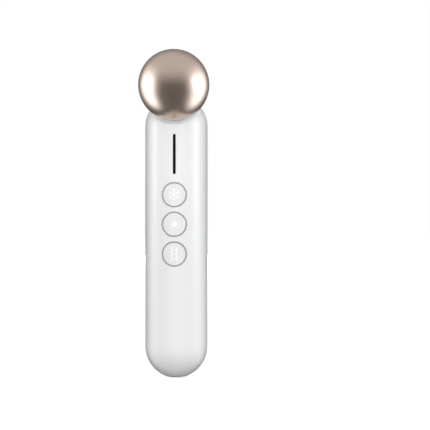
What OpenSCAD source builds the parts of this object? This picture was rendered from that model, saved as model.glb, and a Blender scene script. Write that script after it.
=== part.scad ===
// Eye massage wand that warms, cools and vibrates. A round grip carries three push buttons
// and a status window, and a metal ball sits on a tilted seat at its head.
// Millimetres. The origin is the centre of the flat charging face at the foot,
// +Z runs up the grip, the buttons and the ball face -Y, and +X is to their right.

/* [Grip] */
// Outer diameter of the round grip
grip_d = 31.2; // [30.6:0.2:34]
// Length of the straight part of the grip, between the foot dome and the head dome
grip_len = 109.8; // [108:0.2:125]
// Wall thickness of the front shell and of the rear cover
wall = 1.8; // [1.6:0.1:2.0]
// Diameter of the flat charging face that the foot dome ends in
foot_d = 7.2; // [6.8:0.1:7.6]

/* [Massage ball] */
// Diameter of the metal ball
ball_d = 34.5; // [32:0.5:37]
// Wall thickness of the hollow ball
ball_wall = 2; // [1.6:0.1:2.6]
// Angle of the ball's axis above the horizontal
ball_tilt = 45; // [43:0.5:48]
// Diameter of the circle where the seat cuts the head dome
seat_d = 22; // [21.4:0.2:22.4]
// Rounding of the seat's outer rim
seat_round = 1.5; // [1:0.1:1.8]
// Depth that the ball sinks below the plane of its seat
ball_sink = 1.9; // [1.6:0.1:2.1]
// Diameter of the ball's neck
neck_d = 10.4; // [9.8:0.1:10.8]
// Diameter of the bore through the neck
neck_bore_d = 7.3; // [6.6:0.1:7.6]

/* [Ball seat] */
// Outer diameter of the soft gasket under the ball
gasket_d = 19.2; // [18.4:0.1:19.4]
// Thickness of the gasket
gasket_h = 2.3; // [2.2:0.1:2.6]
// Thickness of the plate inside the head dome that the gasket lies on
seat_plate_t = 2.2; // [1.8:0.1:2.4]
// Thickness of the neck's sealing ring
seal_t = 1; // [0.8:0.1:1.2]

/* [Heating and cooling head] */
// Side of the square thermoelectric module
module_side = 10; // [8:0.5:10.5]
// Thickness of each ceramic plate of the module
module_plate_t = 0.7; // [0.5:0.1:0.9]
// Height of the semiconductor legs between the two plates
module_leg_h = 1.4; // [1.2:0.1:1.6]
// Legs along each side of the module
module_legs = 6; // [4:1:7]
// Diameter of the flange of the slug that carries heat to the ball
slug_flange_d = 13.8; // [13.2:0.1:14]
// Thickness of that flange
slug_flange_t = 1.5; // [1.3:0.1:1.7]
// Half the length of the heat sink's base, across the grip
sink_reach = 11; // [10.8:0.1:11.2]
// Width of the heat sink's base
sink_w = 14; // [13:0.5:14.5]
// Thickness of the heat sink's base
sink_base_t = 2.4; // [2:0.1:2.6]
// Number of cooling fins
fin_count = 7; // [5:1:8]
// Thickness of one fin
fin_t = 0.8; // [0.6:0.1:0.9]
// Length of the fins below the base
fin_len = 7; // [5:0.5:7.5]
// Distance from the ball's axis to each of the head's two screws
head_screw_r = 9.1; // [9:0.05:9.2]

/* [Buttons] */
// Diameter of a button
button_d = 10.8; // [10.2:0.1:11.2]
// Distance between the centres of neighbouring buttons
button_pitch = 14.45; // [14.2:0.05:15]
// Distance of the middle button below the head dome's centre
button_drop = 48.9; // [48.4:0.1:49.4]
// Width of the thin trim ring round each button
trim_w = 0.6; // [0.4:0.1:0.7]
// Travel of a button when it is pressed
button_travel = 0.3; // [0.2:0.05:0.35]
// Thickness of the flange that keeps a button in its hole
flange_t = 0.9; // [0.8:0.1:1.1]
// Width of that flange beyond the button
flange_lip = 0.9; // [0.8:0.1:1.1]

/* [Status window] */
// Width of the dark status window
window_w = 1.3; // [1.1:0.1:1.6]
// Length of the status window
window_len = 19.5; // [18:0.5:20]
// Distance of the window's middle below the head dome's centre
window_drop = 14.6; // [14.2:0.1:14.8]
// Number of indicator lamps behind the window
lamp_count = 5; // [3:1:6]

/* [Main board and chassis] */
// Width of the main board
board_w = 15; // [13.5:0.5:15.5]
// Thickness of the main board
board_t = 1; // [0.8:0.1:1.2]
// Length of the main board
board_len = 64.4; // [64:0.2:66]
// Side of a square push switch
switch_side = 5; // [4.5:0.1:5.4]
// Height of a switch's case
switch_h = 1.9; // [1.7:0.1:2.1]
// Diameter of a switch's plunger
plunger_d = 2.4; // [2:0.1:2.8]
// Height of the plunger above its case
plunger_out = 0.8; // [0.7:0.1:1]
// Thickness of the chassis plate
chassis_t = 1.6; // [1.3:0.1:1.8]
// Height of the chassis's lower end above the charging face
chassis_z = 17; // [16.5:0.1:17.5]
// Height of the posts that carry the main board
post_h = 0.7; // [0.6:0.1:0.9]
// Distance from the middle to the screws that hold the chassis
chassis_screw_x = 10; // [9.8:0.05:10.1]

/* [Battery] */
// Diameter of the rechargeable cell
cell_d = 14; // [13.5:0.1:14.4]
// Length of the cell, without its positive button
cell_len = 48.4; // [46:0.2:49]
// Room between the cell's button and the motor, where the leads pass
lead_room = 5.8; // [5.6:0.1:6.4]
// Thickness of the foam pad between the cell and the rear cover's ribs
foam_t = 0.9; // [0.6:0.1:1]

/* [Vibration motor] */
// Diameter of the motor's can
motor_d = 8; // [7:0.2:8.4]
// Length of the motor's can
motor_len = 12; // [11:0.5:12.5]
// Distance of the can's lower end below the head dome's centre
motor_drop = 36; // [35.4:0.1:36.4]
// Diameter of the motor's shaft
shaft_d = 1; // [0.8:0.1:1.2]
// Radius of the eccentric weight
weight_r = 3.3; // [2.8:0.1:3.6]
// Height of the eccentric weight
weight_h = 4.5; // [4:0.5:5]
// Thickness of the soft sleeve round the motor
sleeve_t = 1; // [0.8:0.1:1.2]

/* [Charging foot] */
// Outer diameter of the contact holder's visible face
holder_d = 6; // [5.8:0.1:6.2]
// Diameter of the holder's inner flange
holder_flange_d = 10; // [9.6:0.1:10.4]
// Mean diameter of the inner and the outer contact ring
contact_ds = [2.5, 4.7];
// Width of each contact ring
contact_w = 0.6; // [0.5:0.05:0.7]
// Outer diameter of the docking magnet
magnet_d = 14.2; // [13:0.2:14.4]
// Height of the docking magnet
magnet_h = 4.6; // [4:0.1:5]
// Diameter of the charging board
charge_board_d = 20.8; // [19:0.2:21]

/* [Fits] */
// Gap round a part that only has to slip into its place
slip = 0.05; // [0.03:0.01:0.08]
// Gap all round a button or a part that moves
play = 0.15; // [0.1:0.01:0.2]
// Gap between the shells' walls and what lies along them
shell_gap = 0.2; // [0.15:0.01:0.25]

/* [Hidden] */

$fn = 96;
// Overshoot of a cutting shape past the face that it opens
past = 1;

// Grip
grip_r = grip_d / 2;
in_r = grip_r - wall;
foot_dome_z = sqrt(grip_r * grip_r - foot_d * foot_d / 4);
head_dome_z = foot_dome_z + grip_len;
button_mid_z = head_dome_z - button_drop;
window_z = head_dome_z - window_drop;
motor_z = head_dome_z - motor_drop;

// Rails, tongue and snap beads that hold the rear cover on the front shell
rail_t = 0.8;
rail_front = 1.5;
rail_back = 2.5;
rail_end = 3;
tongue_h = 1.8;
tongue_root = 2;
bead_r = 0.35;
bead_len = 6;
bead_y = -0.8;
bead_end = 22;

// Ball seat, measured along the ball's axis from the head dome's centre
ball_r = ball_d / 2;
seat_w = sqrt(grip_r * grip_r - seat_d * seat_d / 4);
ball_reach = seat_w + ball_r - ball_sink;
gasket_low = seat_w - gasket_h;
gasket_inset = 0.05;
plate_low = gasket_low - seat_plate_t;
slug_low = plate_low - slug_flange_t;
slug_shank_d = neck_bore_d - 2 * slip;
slug_up = 2;
module_t = 2 * module_plate_t + module_leg_h;
module_low = slug_low - module_t;
sink_low = module_low - sink_base_t;
head_post_r = 1.6;
sensor_r = 0.6;
sensor_len = 1;
sensor_v = -(module_side / 2 + sensor_r + 0.4);

// Screws
head_shaft_r = 0.75;
head_cap_r = 1.5;
head_cap_t = 1.3;
small_shaft_r = 0.6;
small_cap_r = 1.4;
small_cap_t = 1;
recess_t = 0.5;

// Depths of the button stack, measured from the grip's axis towards the front
button_r = button_d / 2;
trim_r = button_r + play + trim_w;
flange_r = button_r + flange_lip;
button_zs = [for (i = [1, 0, -1]) button_mid_z + i * button_pitch];
flange_front = sqrt(in_r * in_r - flange_r * flange_r) - shell_gap;
flange_back = flange_front - flange_t;
trim_back = (flange_front + sqrt(in_r * in_r - trim_r * trim_r)) / 2;
cap_t = 1.6;
cap_pocket_r = button_r - 1.2;
cap_pocket_front = sqrt(grip_r * grip_r - cap_pocket_r * cap_pocket_r) - cap_t;
cap_post_r = 1.5;
switch_front = flange_back - plunger_out;
plunger_in = 1;
board_front = switch_front - switch_h;
board_back = board_front - board_t;
chassis_front = board_back - post_h;
chassis_back = chassis_front - chassis_t;

// Status window and light guide
window_lip = 0.7;
window_flange_t = 0.8;
window_flange_front = sqrt(in_r * in_r - pow(window_w / 2 + window_lip, 2)) - slip;
window_flange_back = window_flange_front - window_flange_t;
guide_w = 1.3;
guide_front = window_flange_back - slip;
lamp_h = 0.6;
lamp_side = 1.6;
guide_back = board_front + lamp_h + slip;
guide_low_z = window_z - window_len / 2;
guide_high_z = window_z + window_len / 2;
guide_tip = 1;

// Main board
board_drop = 8.6;
board_top_z = head_dome_z - board_drop;
board_z = board_top_z - board_len;
board_screw_x = 5.6;
board_screw_in = 3;
board_screw_zs = [board_z + board_screw_in, board_top_z - board_screw_in];
board_post_r = 1.7;
chip_side = 4;
chip_h = 0.9;
chip_zs = [for (i = [0.5, -0.5]) button_mid_z + i * button_pitch];
coil_side = 4.4;
coil_h = 1.8;
coil_up = 7.2;
coil_z = button_zs[0] + coil_up;

// Chassis
chassis_drop = 8.8;
chassis_top_z = head_dome_z - chassis_drop;
chassis_r = in_r - 2 * shell_gap;
chassis_post_r = 1.8;
chassis_screw_up = 9;
chassis_screw_down = 8.2;
chassis_screw_zs = [chassis_z + chassis_screw_up, chassis_top_z - chassis_screw_down];
chassis_bite = 2.2;
cradle_t = 2.4;
cradle_side = 1.6;
cradle_in = 7;
cradle_grip = 1;
cradle_snap = 1.6;
cradle_root = chassis_t / 2;
stop_t = 1.6;
stop_w = 8;
passage_w = 11;
passage_h = 3.4;

// Battery
cell_r = cell_d / 2;
cell_axis = chassis_back - 2 * play - cell_r;
cell_button_r = 2.7;
cell_button_h = 0.8;
cell_round = 0.8;
cell_top_z = motor_z - lead_room - cell_button_h;
cell_z = cell_top_z - cell_len;
tab_t = 0.2;
tab_r = 4.4;
foam_w = 6;
foam_len = 30;
foam_gap = 0.1;
foam_z = cell_z + (cell_len - foam_len) / 2;
foam_back_r = cell_r + foam_gap + foam_t;
foam_rib_t = 1;
foam_rib_x = 2;

// Motor
sleeve_r = motor_d / 2 + sleeve_t;
cradle_floor = 0.8;
motor_axis = chassis_back - cradle_floor - sleeve_r - slip;
sleeve_in = 1;
sleeve_len = motor_len - 2 * sleeve_in;
shaft_in = 9;
shaft_over = 0.6;
weight_gap = 1.2;
weight_z = motor_z + motor_len + weight_gap;
weight_hub_r = 1.4;

// Charging foot
holder_r = holder_d / 2;
holder_flange_low = 2.6;
holder_flange_t = 1.2;
holder_flange_top = holder_flange_low + holder_flange_t;
charge_board_z = holder_flange_top + magnet_h + slip;
charge_board_t = 1;
charge_board_top = charge_board_z + charge_board_t;
contact_up = 0.15;
contact_ring_h = 1.6;
contact_leg_r = 0.24;
contact_leg_over = 0.5;
ledge_h = 1.6;
ledge_w = 2;
ledge_in = 1;

// Leads: where they leave a piece, how they turn, and how far they lie from the middle
lead_r = 0.45;
lead_sides = 8;
lead_steps = 4;
lead_out = 1.1;
lead_turn = 2.6;
lead_rise = 6;
lead_run = 12;
motor_lead_x = 1.2;
plus_lead_x = 3.4;
minus_lead_x = -1;
charge_lead_xs = [1.6, 4];
head_lead_x = 2.4;
tab_lead_y = 3;
pad_down = 5;
top_pass_low = cell_top_z + cell_button_h + tab_t + play + stop_t + slip;
top_pass_z = top_pass_low + passage_h / 2;

// ---- shared shapes ----

// Turns a shape so that its Z runs out of the button face and its Y up the grip
module along_front(z = 0) {
    translate([0, 0, z]) rotate([90, 0, 0]) children();
}

// Places a shape on the ball's axis: Z runs to the ball, X across the grip
module along_ball_axis() {
    translate([0, 0, head_dome_z]) rotate([90 - ball_tilt, 0, 0]) children();
}

// Solid with the grip's outline, straight with a dome at each end
module capsule(r) {
    translate([0, 0, foot_dome_z]) cylinder(r = r, h = grip_len);
    translate([0, 0, foot_dome_z]) sphere(r = r);
    translate([0, 0, head_dome_z]) sphere(r = r);
}

module straight_grip(r) {
    translate([0, 0, foot_dome_z]) cylinder(r = r, h = grip_len);
}

module hollow_grip() {
    difference() {
        capsule(grip_r);
        capsule(in_r);
        translate([-grip_r, -grip_r, -grip_r]) cube([grip_d, grip_d, grip_r]);
    }
}

module ring(r_out, r_in, h) {
    difference() {
        cylinder(r = r_out, h = h);
        translate([0, 0, -past]) cylinder(r = r_in, h = h + 2 * past);
    }
}

// Slot outline with round ends, its length along Y
module stadium(w, l) {
    square([w, l - w], center = true);
    for (side = [-1, 1]) translate([0, side * (l - w) / 2]) circle(d = w);
}

// Pan-head screw whose head stands on Z 0 and whose shaft runs up Z
module screw(shaft_r, cap_r, cap_t, length) {
    difference() {
        union() {
            translate([0, 0, -cap_t]) cylinder(r = cap_r, h = cap_t);
            cylinder(r = shaft_r, h = length);
        }
        for (turn = [0, 90])
            translate([0, 0, -cap_t]) rotate([0, 0, turn])
                cube([cap_r, cap_r / 3, 2 * recess_t], center = true);
    }
}

// ---- shells ----

module front_zone() {
    translate([-grip_r - past, -grip_r - past, -past])
        cube([grip_d + 2 * past, grip_r + past, head_dome_z + past]);
    translate([-grip_r - past, -grip_r - past, head_dome_z])
        cube([grip_d + 2 * past, grip_d + 2 * past, grip_r + past]);
}

module rear_zone() {
    translate([-grip_r - past, 0, -past])
        cube([grip_d + 2 * past, grip_r + past, head_dome_z + past]);
}

// Outside of the rounded seat, as a solid of revolution round the ball's axis
module seat_cutter() {
    tube_w = seat_w - seat_round;
    tube_r = sqrt(pow(grip_r - seat_round, 2) - tube_w * tube_w);
    high = 2 * grip_r;
    rotate_extrude() difference() {
        polygon([
            [0, seat_w], [0, high], [high * tube_r / tube_w, high],
            [tube_r, tube_w], [tube_r, seat_w]
        ]);
        translate([tube_r, tube_w]) circle(r = seat_round);
    }
}

// Plate and screw posts inside the head dome
module seat_plate() {
    translate([0, 0, plate_low]) cylinder(r = in_r, h = gasket_low - plate_low + wall);
    for (side = [-1, 1])
        translate([side * head_screw_r, 0, module_low])
            cylinder(r = head_post_r, h = plate_low - module_low + past);
}

module seat_openings() {
    translate([0, 0, gasket_low]) cylinder(d = gasket_d + 2 * slip, h = grip_r);
    translate([0, 0, plate_low - past]) cylinder(d = neck_d + 2 * slip, h = grip_r);
    translate([0, 0, plate_low + (seat_plate_t - seal_t) / 2 - slip])
        cylinder(r = neck_d / 2 + seal_t + slip, h = seal_t + 2 * slip);
    for (side = [-1, 1])
        translate([side * head_screw_r, 0, module_low - past])
            cylinder(r = head_shaft_r + slip, h = gasket_low - module_low + past / 2);
}

module chassis_posts() {
    for (side = [-1, 1], z = chassis_screw_zs)
        along_front(z) translate([side * chassis_screw_x, 0, chassis_front])
            cylinder(r = chassis_post_r, h = grip_r - chassis_front);
}

module chassis_pilots() {
    for (side = [-1, 1], z = chassis_screw_zs)
        along_front(z) translate([side * chassis_screw_x, 0, chassis_front - past])
            cylinder(r = small_shaft_r + slip, h = chassis_bite + past);
}

// Ledge on a shell's wall that keeps the charging board down
module board_ledge(turn) {
    rotate([0, 0, turn])
        translate([charge_board_d / 2 - ledge_in, -ledge_w / 2, charge_board_top])
            cube([grip_r, ledge_w, ledge_h]);
}

module bead_rods(r, len) {
    for (side = [-1, 1], z = [foot_dome_z + bead_end, head_dome_z - bead_end])
        translate([side * (in_r - shell_gap), bead_y, z])
            cylinder(r = r, h = len, center = true);
}

module front_shell() {
    color("white") difference() {
        union() {
            intersection() {
                hollow_grip();
                front_zone();
            }
            intersection() {
                capsule(in_r + wall / 2);
                union() {
                    along_ball_axis() seat_plate();
                    chassis_posts();
                    for (turn = [-135, -90, -45]) board_ledge(turn);
                }
            }
        }
        along_ball_axis() {
            seat_cutter();
            seat_openings();
        }
        chassis_pilots();
        for (z = button_zs)
            along_front(z) cylinder(r = trim_r + slip, h = grip_d);
        along_front(window_z) linear_extrude(grip_d)
            stadium(window_w + 2 * slip, window_len + 2 * slip);
        along_front(window_z) translate([0, 0, window_flange_back - slip])
            linear_extrude(window_flange_t + 2 * slip)
                stadium(window_w + 2 * (window_lip + slip), window_len + 2 * (window_lip + slip));
        bead_rods(bead_r + slip, bead_len + play);
        translate([0, 0, -past]) cylinder(r = holder_r + slip, h = holder_flange_low + past);
    }
}

module rear_rails() {
    for (side = [0, 1]) mirror([side, 0, 0]) {
        translate([in_r - shell_gap - rail_t, -rail_front, foot_dome_z + rail_end])
            cube([rail_t, rail_front + rail_back, grip_len - 2 * rail_end]);
        translate([in_r - shell_gap - rail_t, 0, foot_dome_z + rail_end])
            cube([rail_t + wall / 2, rail_back, grip_len - 2 * rail_end]);
    }
}

module rear_tongue() {
    tongue_r = sqrt(in_r * in_r - tongue_h * tongue_h) - shell_gap / 2;
    intersection() {
        union() {
            translate([0, 0, head_dome_z - tongue_root])
                ring(tongue_r, tongue_r - rail_t, tongue_root + tongue_h);
            translate([0, 0, head_dome_z - tongue_root])
                ring(in_r + wall / 2, tongue_r - rail_t, tongue_root);
        }
        translate([-grip_r, shell_gap, 0]) cube([grip_d, grip_r, head_dome_z + grip_r]);
    }
}

// Ribs that press the foam pad towards the cell
module foam_ribs() {
    difference() {
        for (side = [-1, 1])
            translate([side * foam_rib_x - foam_rib_t / 2, 0, foam_z])
                cube([foam_rib_t, grip_r, foam_len]);
        translate([0, -cell_axis, 0]) cylinder(r = foam_back_r, h = head_dome_z);
    }
}

module rear_cover() {
    color("white") difference() {
        union() {
            intersection() {
                hollow_grip();
                rear_zone();
            }
            intersection() {
                straight_grip(in_r + wall / 2);
                union() {
                    rear_rails();
                    foam_ribs();
                }
            }
            rear_tongue();
            bead_rods(bead_r, bead_len);
            intersection() {
                capsule(in_r + wall / 2);
                board_ledge(90);
            }
        }
        translate([0, 0, -past]) cylinder(r = holder_r + slip, h = holder_flange_low + past);
    }
}

// ---- head ----

module massage_ball() {
    color("#c3a998") along_ball_axis() difference() {
        union() {
            translate([0, 0, ball_reach]) sphere(r = ball_r);
            translate([0, 0, plate_low + slip])
                cylinder(d = neck_d, h = ball_reach - ball_r - plate_low + ball_wall / 2);
        }
        translate([0, 0, ball_reach]) sphere(r = ball_r - ball_wall);
        cylinder(d = neck_bore_d, h = ball_reach);
    }
}

// Soft ring whose upper face is dished to the ball
module seat_gasket() {
    color("#c6cccd") along_ball_axis() difference() {
        translate([0, 0, gasket_low]) cylinder(d = gasket_d, h = gasket_h - gasket_inset);
        translate([0, 0, ball_reach]) sphere(r = ball_r + slip);
        translate([0, 0, gasket_low - past]) cylinder(d = neck_d + 2 * slip, h = gasket_h + 2 * past);
    }
}

module neck_seal() {
    color("#2b2b2b") along_ball_axis()
        translate([0, 0, plate_low + seat_plate_t / 2]) rotate_extrude()
            translate([neck_d / 2 + seal_t / 2, 0]) circle(r = seal_t / 2 - slip / 2);
}

module heat_slug() {
    color("#c9ced2") along_ball_axis() difference() {
        union() {
            translate([0, 0, slug_low]) cylinder(d = slug_flange_d, h = slug_flange_t);
            translate([0, 0, slug_low])
                cylinder(d = slug_shank_d, h = ball_reach - ball_r + ball_wall + slug_up - slug_low);
        }
        translate([0, sensor_v, slug_low - past])
            cylinder(r = sensor_r + slip, h = sensor_len + past);
    }
}

module temperature_sensor() {
    color("#3c2a1c") along_ball_axis() translate([0, sensor_v, slug_low])
        cylinder(r = sensor_r, h = sensor_len - slip);
}

module thermoelectric_plates() {
    color("#f1f0ea") along_ball_axis()
        for (low = [module_low, slug_low - module_plate_t])
            translate([-module_side / 2, -module_side / 2, low])
                cube([module_side, module_side, module_plate_t]);
}

module thermoelectric_legs() {
    step = module_side / module_legs;
    side = step * 0.6;
    color("#6f7377") along_ball_axis()
        for (i = [0 : module_legs - 1], j = [0 : module_legs - 1])
            translate([
                (i + 0.5) * step - module_side / 2 - side / 2,
                (j + 0.5) * step - module_side / 2 - side / 2,
                module_low + module_plate_t
            ]) cube([side, side, module_leg_h]);
}

module heat_sink() {
    fins_w = 2 * (head_screw_r - head_cap_r - 1.2);
    pitch = (fins_w - fin_t) / (fin_count - 1);
    color("#b9bec3") along_ball_axis() difference() {
        union() {
            intersection() {
                translate([0, 0, sink_low]) cylinder(r = sink_reach, h = sink_base_t);
                translate([-sink_reach, -sink_w / 2, sink_low])
                    cube([2 * sink_reach, sink_w, sink_base_t]);
            }
            for (i = [0 : fin_count - 1])
                translate([i * pitch - fins_w / 2, -sink_w / 2 + past, sink_low - fin_len])
                    cube([fin_t, sink_w - 2 * past, fin_len + sink_base_t / 2]);
        }
        for (side = [-1, 1])
            translate([side * head_screw_r, 0, sink_low - past])
                cylinder(r = head_shaft_r + play, h = sink_base_t + 2 * past);
    }
}

module head_screws() {
    color("#9a9da0") along_ball_axis() for (side = [-1, 1])
        translate([side * head_screw_r, 0, sink_low])
            screw(head_shaft_r, head_cap_r, head_cap_t, gasket_low - sink_low - 2 * past);
}

// ---- buttons and window ----

module button(z) {
    color("white") difference() {
        intersection() {
            union() {
                along_front(z) translate([0, 0, flange_back])
                    cylinder(r = button_r, h = grip_r);
                along_front(z) translate([0, 0, flange_back])
                    cylinder(r = flange_r, h = flange_t);
            }
            straight_grip(grip_r);
        }
        along_front(z) translate([0, 0, flange_back - past])
            ring(cap_pocket_r, cap_post_r, cap_pocket_front - flange_back + past);
    }
}

module cold_button() {
    button(button_zs[0]);
}

module heat_button() {
    button(button_zs[1]);
}

module vibration_button() {
    button(button_zs[2]);
}

module plunger(z) {
    color("#2a2a2c") along_front(z) translate([0, 0, switch_front - plunger_in])
        cylinder(d = plunger_d, h = plunger_in + plunger_out);
}

module cold_switch_plunger() {
    plunger(button_zs[0]);
}

module heat_switch_plunger() {
    plunger(button_zs[1]);
}

module vibration_switch_plunger() {
    plunger(button_zs[2]);
}

module switch_cases() {
    color("#8b8e92") for (z = button_zs) along_front(z) difference() {
        translate([-switch_side / 2, -switch_side / 2, board_front])
            cube([switch_side, switch_side, switch_h]);
        translate([0, 0, switch_front - plunger_in - button_travel - slip])
            cylinder(r = plunger_d / 2 + play / 2, h = switch_h);
    }
}

module button_trim_rings() {
    color("#9c9c9c") intersection() {
        for (z = button_zs)
            along_front(z) translate([0, 0, trim_back])
                ring(trim_r, button_r + play, grip_r);
        straight_grip(grip_r);
    }
}

module status_window() {
    color("#0b0b0b") intersection() {
        along_front(window_z) {
            translate([0, 0, window_flange_back]) linear_extrude(window_flange_t)
                stadium(window_w + 2 * window_lip, window_len + 2 * window_lip);
            translate([0, 0, window_flange_back]) linear_extrude(grip_r)
                stadium(window_w, window_len);
        }
        straight_grip(grip_r);
    }
}

// Clear bar that spreads the lamps' light along the window and tapers past the board's top
module light_guide() {
    color("#e8f0f2") translate([-guide_w / 2, 0, 0]) rotate([90, 0, 90])
        linear_extrude(guide_w) polygon([
            [-guide_front, guide_low_z], [-guide_back, guide_low_z],
            [-guide_back, board_top_z - guide_tip], [-guide_front + guide_tip, guide_high_z],
            [-guide_front, guide_high_z]
        ]);
}

module status_lamps() {
    low = guide_low_z + lamp_side;
    high = board_top_z - lamp_side;
    color("#f4e7b0") for (i = [0 : lamp_count - 1])
        along_front(low + i * (high - low) / (lamp_count - 1))
            translate([-lamp_side / 4, -lamp_side / 2, board_front])
                cube([lamp_side / 2, lamp_side, lamp_h]);
}

// ---- main board and chassis ----

module main_board() {
    color("#1f5a3a") difference() {
        along_front() translate([-board_w / 2, board_z, board_back])
            cube([board_w, board_top_z - board_z, board_t]);
        for (side = [-1, 1], z = board_screw_zs)
            along_front(z) translate([side * board_screw_x, 0, 0])
                cylinder(r = small_shaft_r + play, h = grip_r);
    }
}

module board_chips() {
    color("#1b1c1e") for (z = chip_zs)
        along_front(z) translate([-chip_side / 2, -chip_side / 2, board_front])
            cube([chip_side, chip_side, chip_h]);
}

module power_coil() {
    color("#4a4b4f") along_front(coil_z) difference() {
        translate([-coil_side / 2, -coil_side / 2, board_front])
            cube([coil_side, coil_side, coil_h]);
        translate([0, 0, board_front + coil_h / 2]) ring(coil_side / 2.6, coil_side / 3.4, coil_h);
    }
}

module board_screws() {
    color("#b9bbbe") for (side = [-1, 1], z = board_screw_zs)
        along_front(z) translate([side * board_screw_x, 0, board_front]) rotate([180, 0, 0])
            screw(small_shaft_r, small_cap_r, small_cap_t, board_front - chassis_back);
}

// Cradle ribs hold the cell, stop blocks close its ends, and a block holds the motor
module chassis_ribs() {
    for (z = [cell_z + cradle_in, cell_top_z - cradle_in - cradle_t])
        along_front(z) translate([-cell_r - cradle_side, 0, cell_axis - cradle_grip])
            cube([cell_d + 2 * cradle_side, cradle_t, chassis_back - cell_axis + cradle_grip + cradle_root]);
    for (z = [cell_z - tab_t - play - stop_t, cell_top_z + cell_button_h + tab_t + play])
        along_front(z) translate([-stop_w / 2, 0, cell_axis])
            cube([stop_w, stop_t, chassis_back - cell_axis + cradle_root]);
    along_front(motor_z + sleeve_in)
        translate([-sleeve_r - cradle_side, 0, motor_axis - cradle_snap]) cube([
            2 * (sleeve_r + cradle_side), sleeve_len,
            chassis_back - motor_axis + cradle_snap + cradle_root
        ]);
}

module chassis() {
    color("#d9dadc") difference() {
        union() {
            intersection() {
                along_front() translate([-grip_r, chassis_z, chassis_back])
                    cube([grip_d, chassis_top_z - chassis_z, chassis_t]);
                translate([0, 0, chassis_z]) cylinder(r = chassis_r, h = chassis_top_z);
            }
            for (side = [-1, 1], z = board_screw_zs)
                along_front(z) translate([side * board_screw_x, 0, chassis_back])
                    cylinder(r = board_post_r, h = board_back - chassis_back);
            chassis_ribs();
        }
        translate([0, -cell_axis, cell_z - play]) cylinder(r = cell_r + play, h = cell_len + play);
        translate([0, -motor_axis, motor_z - past])
            cylinder(r = sleeve_r + slip, h = motor_len + 2 * past);
        for (side = [-1, 1], z = chassis_screw_zs)
            along_front(z) translate([side * chassis_screw_x, 0, 0])
                cylinder(r = small_shaft_r + play, h = grip_r);
        for (side = [-1, 1], z = board_screw_zs)
            along_front(z) translate([side * board_screw_x, 0, 0])
                cylinder(r = small_shaft_r + slip, h = grip_r);
        for (z = [cell_z - stop_t - passage_h, top_pass_low])
            along_front(z) translate([-passage_w / 2, 0, 0]) cube([passage_w, passage_h, grip_r]);
    }
}

module chassis_screws() {
    color("#b9bbbe") for (side = [-1, 1], z = chassis_screw_zs)
        along_front(z) translate([side * chassis_screw_x, 0, chassis_back])
            screw(small_shaft_r, small_cap_r, small_cap_t, chassis_t + chassis_bite - slip);
}

// ---- battery ----

module battery_cell() {
    color("#3f6ea8") translate([0, -cell_axis, cell_z]) {
        rotate_extrude() {
            square([cell_r - cell_round, cell_len]);
            translate([0, cell_round]) square([cell_r, cell_len - 2 * cell_round]);
            for (z = [cell_round, cell_len - cell_round])
                translate([cell_r - cell_round, z]) circle(r = cell_round);
        }
        translate([0, 0, cell_len - past]) cylinder(r = cell_button_r, h = cell_button_h + past);
    }
}

module battery_tabs() {
    color("#c8c9c6") translate([0, -cell_axis, 0])
        for (z = [cell_z - tab_t, cell_top_z + cell_button_h])
            translate([0, 0, z]) intersection() {
                cylinder(r = tab_r, h = tab_t);
                translate([-tab_r / 2, -tab_r, 0]) cube([tab_r, 2 * tab_r, tab_t]);
            }
}

module battery_foam() {
    color("#4d4f52") intersection() {
        translate([-foam_w / 2, 0, foam_z]) cube([foam_w, grip_r, foam_len]);
        translate([0, -cell_axis, foam_z]) ring(foam_back_r, foam_back_r - foam_t, foam_len);
    }
}

// ---- vibration motor ----

module motor_can() {
    color("#b4b7ba") translate([0, -motor_axis, motor_z]) difference() {
        union() {
            cylinder(d = motor_d, h = motor_len);
            cylinder(r = shaft_d, h = motor_len + shaft_over);
        }
        translate([0, 0, motor_len - shaft_in - slip])
            cylinder(r = shaft_d / 2 + slip, h = shaft_in + past + shaft_over);
    }
}

module motor_sleeve() {
    color("#2f3033") translate([0, -motor_axis, motor_z + sleeve_in])
        ring(sleeve_r, motor_d / 2 + slip, sleeve_len);
}

module motor_shaft() {
    color("#d5d7d9") translate([0, -motor_axis, motor_z + motor_len - shaft_in])
        cylinder(d = shaft_d, h = shaft_in + weight_gap + weight_h);
}

module eccentric_weight() {
    color("#8a8378") translate([0, -motor_axis, weight_z]) difference() {
        union() {
            intersection() {
                cylinder(r = weight_r, h = weight_h);
                translate([-weight_r, 0, 0]) cube([2 * weight_r, weight_r, weight_h]);
            }
            cylinder(r = weight_hub_r, h = weight_h);
        }
        translate([0, 0, -past]) cylinder(r = shaft_d / 2 + slip / 2, h = weight_h + 2 * past);
    }
}

// ---- leads ----

function unit(v) = v / norm(v);

// Point at u, from 0 to 1, on the smooth curve between points i and i + 1 of a route
function curve_point(p, i, u) =
    let (
        last = len(p) - 1,
        a = p[max(i - 1, 0)],
        b = p[i],
        c = p[min(i + 1, last)],
        d = p[min(i + 2, last)]
    )
    (2 * b + (c - a) * u + (2 * a - 5 * b + 4 * c - d) * u * u
        + (3 * b - a - 3 * c + d) * u * u * u) / 2;

function smooth_route(p) = [
    for (i = [0 : len(p) - 2], k = [0 : lead_steps - 1]) curve_point(p, i, k / lead_steps),
    p[len(p) - 1]
];

// Directions along a smoothed route, square to its flat ends
function route_tangents(p, q) = [
    unit(p[1] - p[0]),
    for (i = [1 : len(q) - 2]) unit(q[i + 1] - q[i - 1]),
    unit(p[len(p) - 1] - p[len(p) - 2])
];

function square_to(v, t) = unit(v - (v * t) * t);

function tube_sides(t, first) = [
    for (
        i = 0, side = square_to(first, t[0]);
        i < len(t);
        i = i + 1, side = square_to(side, t[min(i, len(t) - 1)])
    ) side
];

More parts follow.
